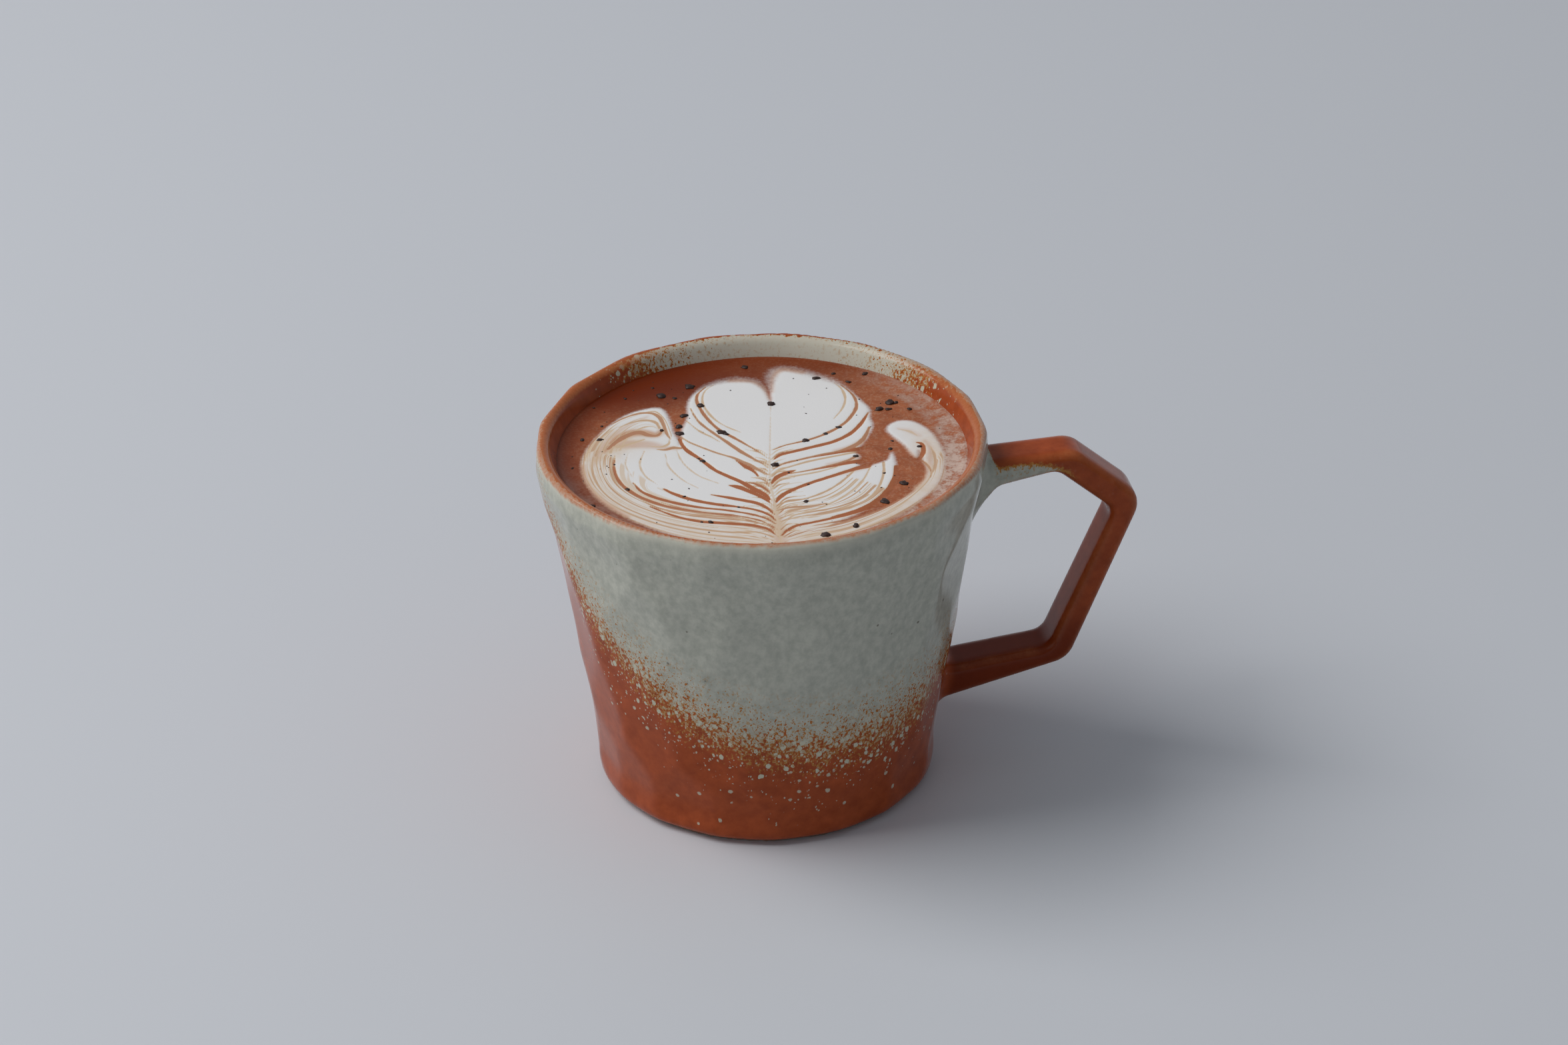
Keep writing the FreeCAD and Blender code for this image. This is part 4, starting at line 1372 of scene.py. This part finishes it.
def glaze_material():
    material, tree, shader = new_material("iron_and_celadon_glaze")
    where = millimetres(tree)
    stretched = vector_maths(tree, "MULTIPLY", {0: where, 1: (1.0, 1.0, 0.8)})
    depth = value_of(tree, "celadon")
    brown = value_of(tree, "brown")
    clay = value_of(tree, "clay")
    slow = use_group(tree, MOTTLE, where, 9.0, 3.0, 1.6)
    clouds = use_group(tree, MOTTLE, where, 2.6, 4.0, 1.8)
    fine = use_group(tree, MOTTLE, stretched, 0.62, 3.0, 2.4)

    # The noisy depth. Far from the border the depth counts for more, and on the handle the noise is weaker
    firm = times_plus(tree, maths(tree, "POWER", maths(tree, "ABSOLUTE", depth), 2.0), 0.004, 1.0)
    wander = stir(tree, times(tree, depth, firm), slow, 4.0)
    on_pot = maths(tree, "SUBTRACT", 1.0, times(tree, brown, 8.0), clamp=True)
    unrest = times_plus(tree, on_pot, 15.0, 9.0)
    steps = stir(tree, stir(tree, wander, fine, unrest), clouds, 4.0)
    sheet = rise(tree, steps, -0.9, 0.9)
    fringe = rise(tree, steps, -9.0, -0.5)

    # Three sizes of drops, and none on the handle
    drift = stir(tree, depth, slow, 6.0)
    many = rise(tree, drift, -15.0, 2.0, 0.0, 0.95)
    some = rise(tree, drift, -24.0, 1.0, 0.0, 0.95)
    few = rise(tree, depth, -36.0, -8.0, 0.0, 0.30)
    broad_drops = use_group(tree, DROPS, stretched, 1.25, many, 0.46, 0.5)
    fine_drops = use_group(tree, DROPS, stretched, 0.72, some, 0.30, 0.45)
    lone_drops = use_group(tree, DROPS, where, 1.9, few, 0.26, 0.3)
    drops = maths(tree, "MAXIMUM", broad_drops, times(tree, fine_drops, 0.8))
    drops = maths(tree, "MAXIMUM", drops, times(tree, lone_drops, 0.8))
    drops = times(tree, drops, on_pot)

    red = blend(tree, clouds, IRON_BROWN, IRON_RED)
    # Painted shade on the handle: its inner faces, lower bar and roots are darker
    red = blend(tree, times(tree, brown, 0.85), red, SHADED_IRON)
    ochre = blend(tree, times(tree, fringe, 0.9), red, OCHRE)

    veins = use_group(tree, MOTTLE, stretched, 1.5, 3.0, 3.4)
    cloudy = times_plus(tree, clouds, 0.5, times(tree, veins, 0.5))
    celadon = blend(tree, cloudy, CELADON_DARK, CELADON_LIGHT)
    celadon = blend(tree, value_of(tree, "pooled"), celadon, CELADON_POOL)
    warm = times(tree, rise(tree, wander, 24.0, 6.0), rise(tree, fine, 0.55, 0.95))
    celadon = blend(tree, times(tree, warm, 0.7), celadon, OCHRE)
    specks = use_group(tree, DROPS, where, 3.1, 0.16, 0.10, 0.2)
    celadon = blend(tree, times(tree, specks, 0.75), celadon, IRON_SPECK)

    colour = blend(tree, sheet, blend(tree, drops, ochre, DROP_PALE), celadon)
    thin = times(tree, value_of(tree, "crest"), times_plus(tree, fine, 0.6, 0.55), clamp=True)
    colour = blend(tree, times(tree, thin, 0.85), colour, THIN_ORANGE)
    relief = times_plus(tree, sheet, 0.7, times(tree, clouds, 0.5))
    set_inputs(tree, shader, {
        "Base Color": blend(tree, clay, colour, BARE_CLAY),
        "Roughness": times_plus(tree, clay, 0.6, 0.13),
        "Normal": bump(tree, times_plus(tree, drops, 0.4, relief), 0.10),
        "IOR": 1.27,
    })
    return material


mug.data.materials.append(glaze_material())
print("material on the mug:", mug.data.materials[0].name)

# %% [markdown]
# The stage is a wide flat table, pale and slightly blue.

# %% Stage
TABLE_COLOUR = (0.655, 0.685, 0.735, 1.0)
TABLE_HALF = 2.5
TABLE_GAP = 0.05


def make_table():
    square = ((-1, -1), (1, -1), (1, 1), (-1, 1))
    mesh = bpy.data.meshes.new("table")
    mesh.from_pydata([(x * TABLE_HALF, y * TABLE_HALF, 0) for x, y in square], [], [(0, 1, 2, 3)])
    material, tree, shader = new_material("pale_table")
    set_inputs(tree, shader, {"Base Color": TABLE_COLOUR, "Roughness": 0.55})
    mesh.materials.append(material)
    table = show("table", mesh)
    table.location.z = (MUG_LOW[2] - TABLE_GAP) * MM


make_table()
print("table", 2 * TABLE_HALF, "m wide")

# %% [markdown]
# The camera looks down on the mug from the drinker's side, from about a metre away and through a long lens,
# as one looks at a cup before picking it up.

# %% Camera
CAMERA_TARGET = Vector((5.449, 6.588, 50.831)) * MM
CAMERA_PLACE = Vector((-161.23, -914.36, 578.88)) * MM
CAMERA_ROLL = math.radians(-0.764)
CAMERA_LENS = 122.45


def make_camera():
    data = bpy.data.cameras.new("camera")
    data.lens = CAMERA_LENS
    data.sensor_width = 36.0
    data.clip_end = 20.0
    camera = show("camera", data)
    look = (CAMERA_TARGET - CAMERA_PLACE).to_track_quat("-Z", "Y").to_matrix().to_4x4()
    camera.matrix_world = Matrix.Translation(CAMERA_PLACE) @ look @ Matrix.Rotation(CAMERA_ROLL, 4, "Z")
    bpy.context.scene.camera = camera


make_camera()
print("camera", round((CAMERA_TARGET - CAMERA_PLACE).length, 3), "m from the mug")

# %% [markdown]
# The light comes from one large window, high on the left and a little behind, with a weak wide fill from
# the left in front, and from the pale room all round. The glaze is shiny, so what the room looks like
# matters: bright at the horizon behind and at both sides, where the facets catch it, and darker in front
# and overhead.

# %% Light
LAMPS_AIM = Vector((0.0, 0.0, 0.04))


def make_lamp(name, location, width, height, power, colour):
    data = bpy.data.lights.new(name, "AREA")
    data.shape = "RECTANGLE"
    data.size = width
    data.size_y = height
    data.energy = power
    data.color = colour
    lamp = show(name, data)
    lamp.location = location
    lamp.rotation_euler = (LAMPS_AIM - Vector(location)).to_track_quat("-Z", "Y").to_euler()


make_lamp("window", (-1.13, 0.27, 1.45), width=1.3, height=1.1, power=22.5, colour=(1.0, 0.98, 0.96))
make_lamp("fill", (-1.5, -1.5, 0.9), width=1.6, height=1.2, power=2.4, colour=(1.0, 1.0, 1.0))

ROOM_FRONT = (0.20, 0.205, 0.215, 1.0)
ROOM_BACK = (0.86, 0.90, 0.96, 1.0)
ROOM_OVERHEAD = (0.34, 0.355, 0.38, 1.0)


def make_room():
    world = bpy.data.worlds.new("room")
    world.use_nodes = True
    tree = world.node_tree
    way = place(tree, "ShaderNodeTexCoord").outputs["Generated"]
    parts = place(tree, "ShaderNodeSeparateXYZ", {0: way})
    low = blend(tree, rise(tree, parts.outputs["Y"], -0.75, 0.5), ROOM_FRONT, ROOM_BACK)
    colour = blend(tree, rise(tree, parts.outputs["Z"], 0.12, 0.6), low, ROOM_OVERHEAD)
    set_inputs(tree, tree.nodes["Background"], {"Color": colour, "Strength": 0.62})
    bpy.context.scene.world = world


make_room()

# %% [markdown]
# The finish shows colours through the Standard view transform.

# %% Finish
bpy.context.scene.view_settings.view_transform = "Standard"
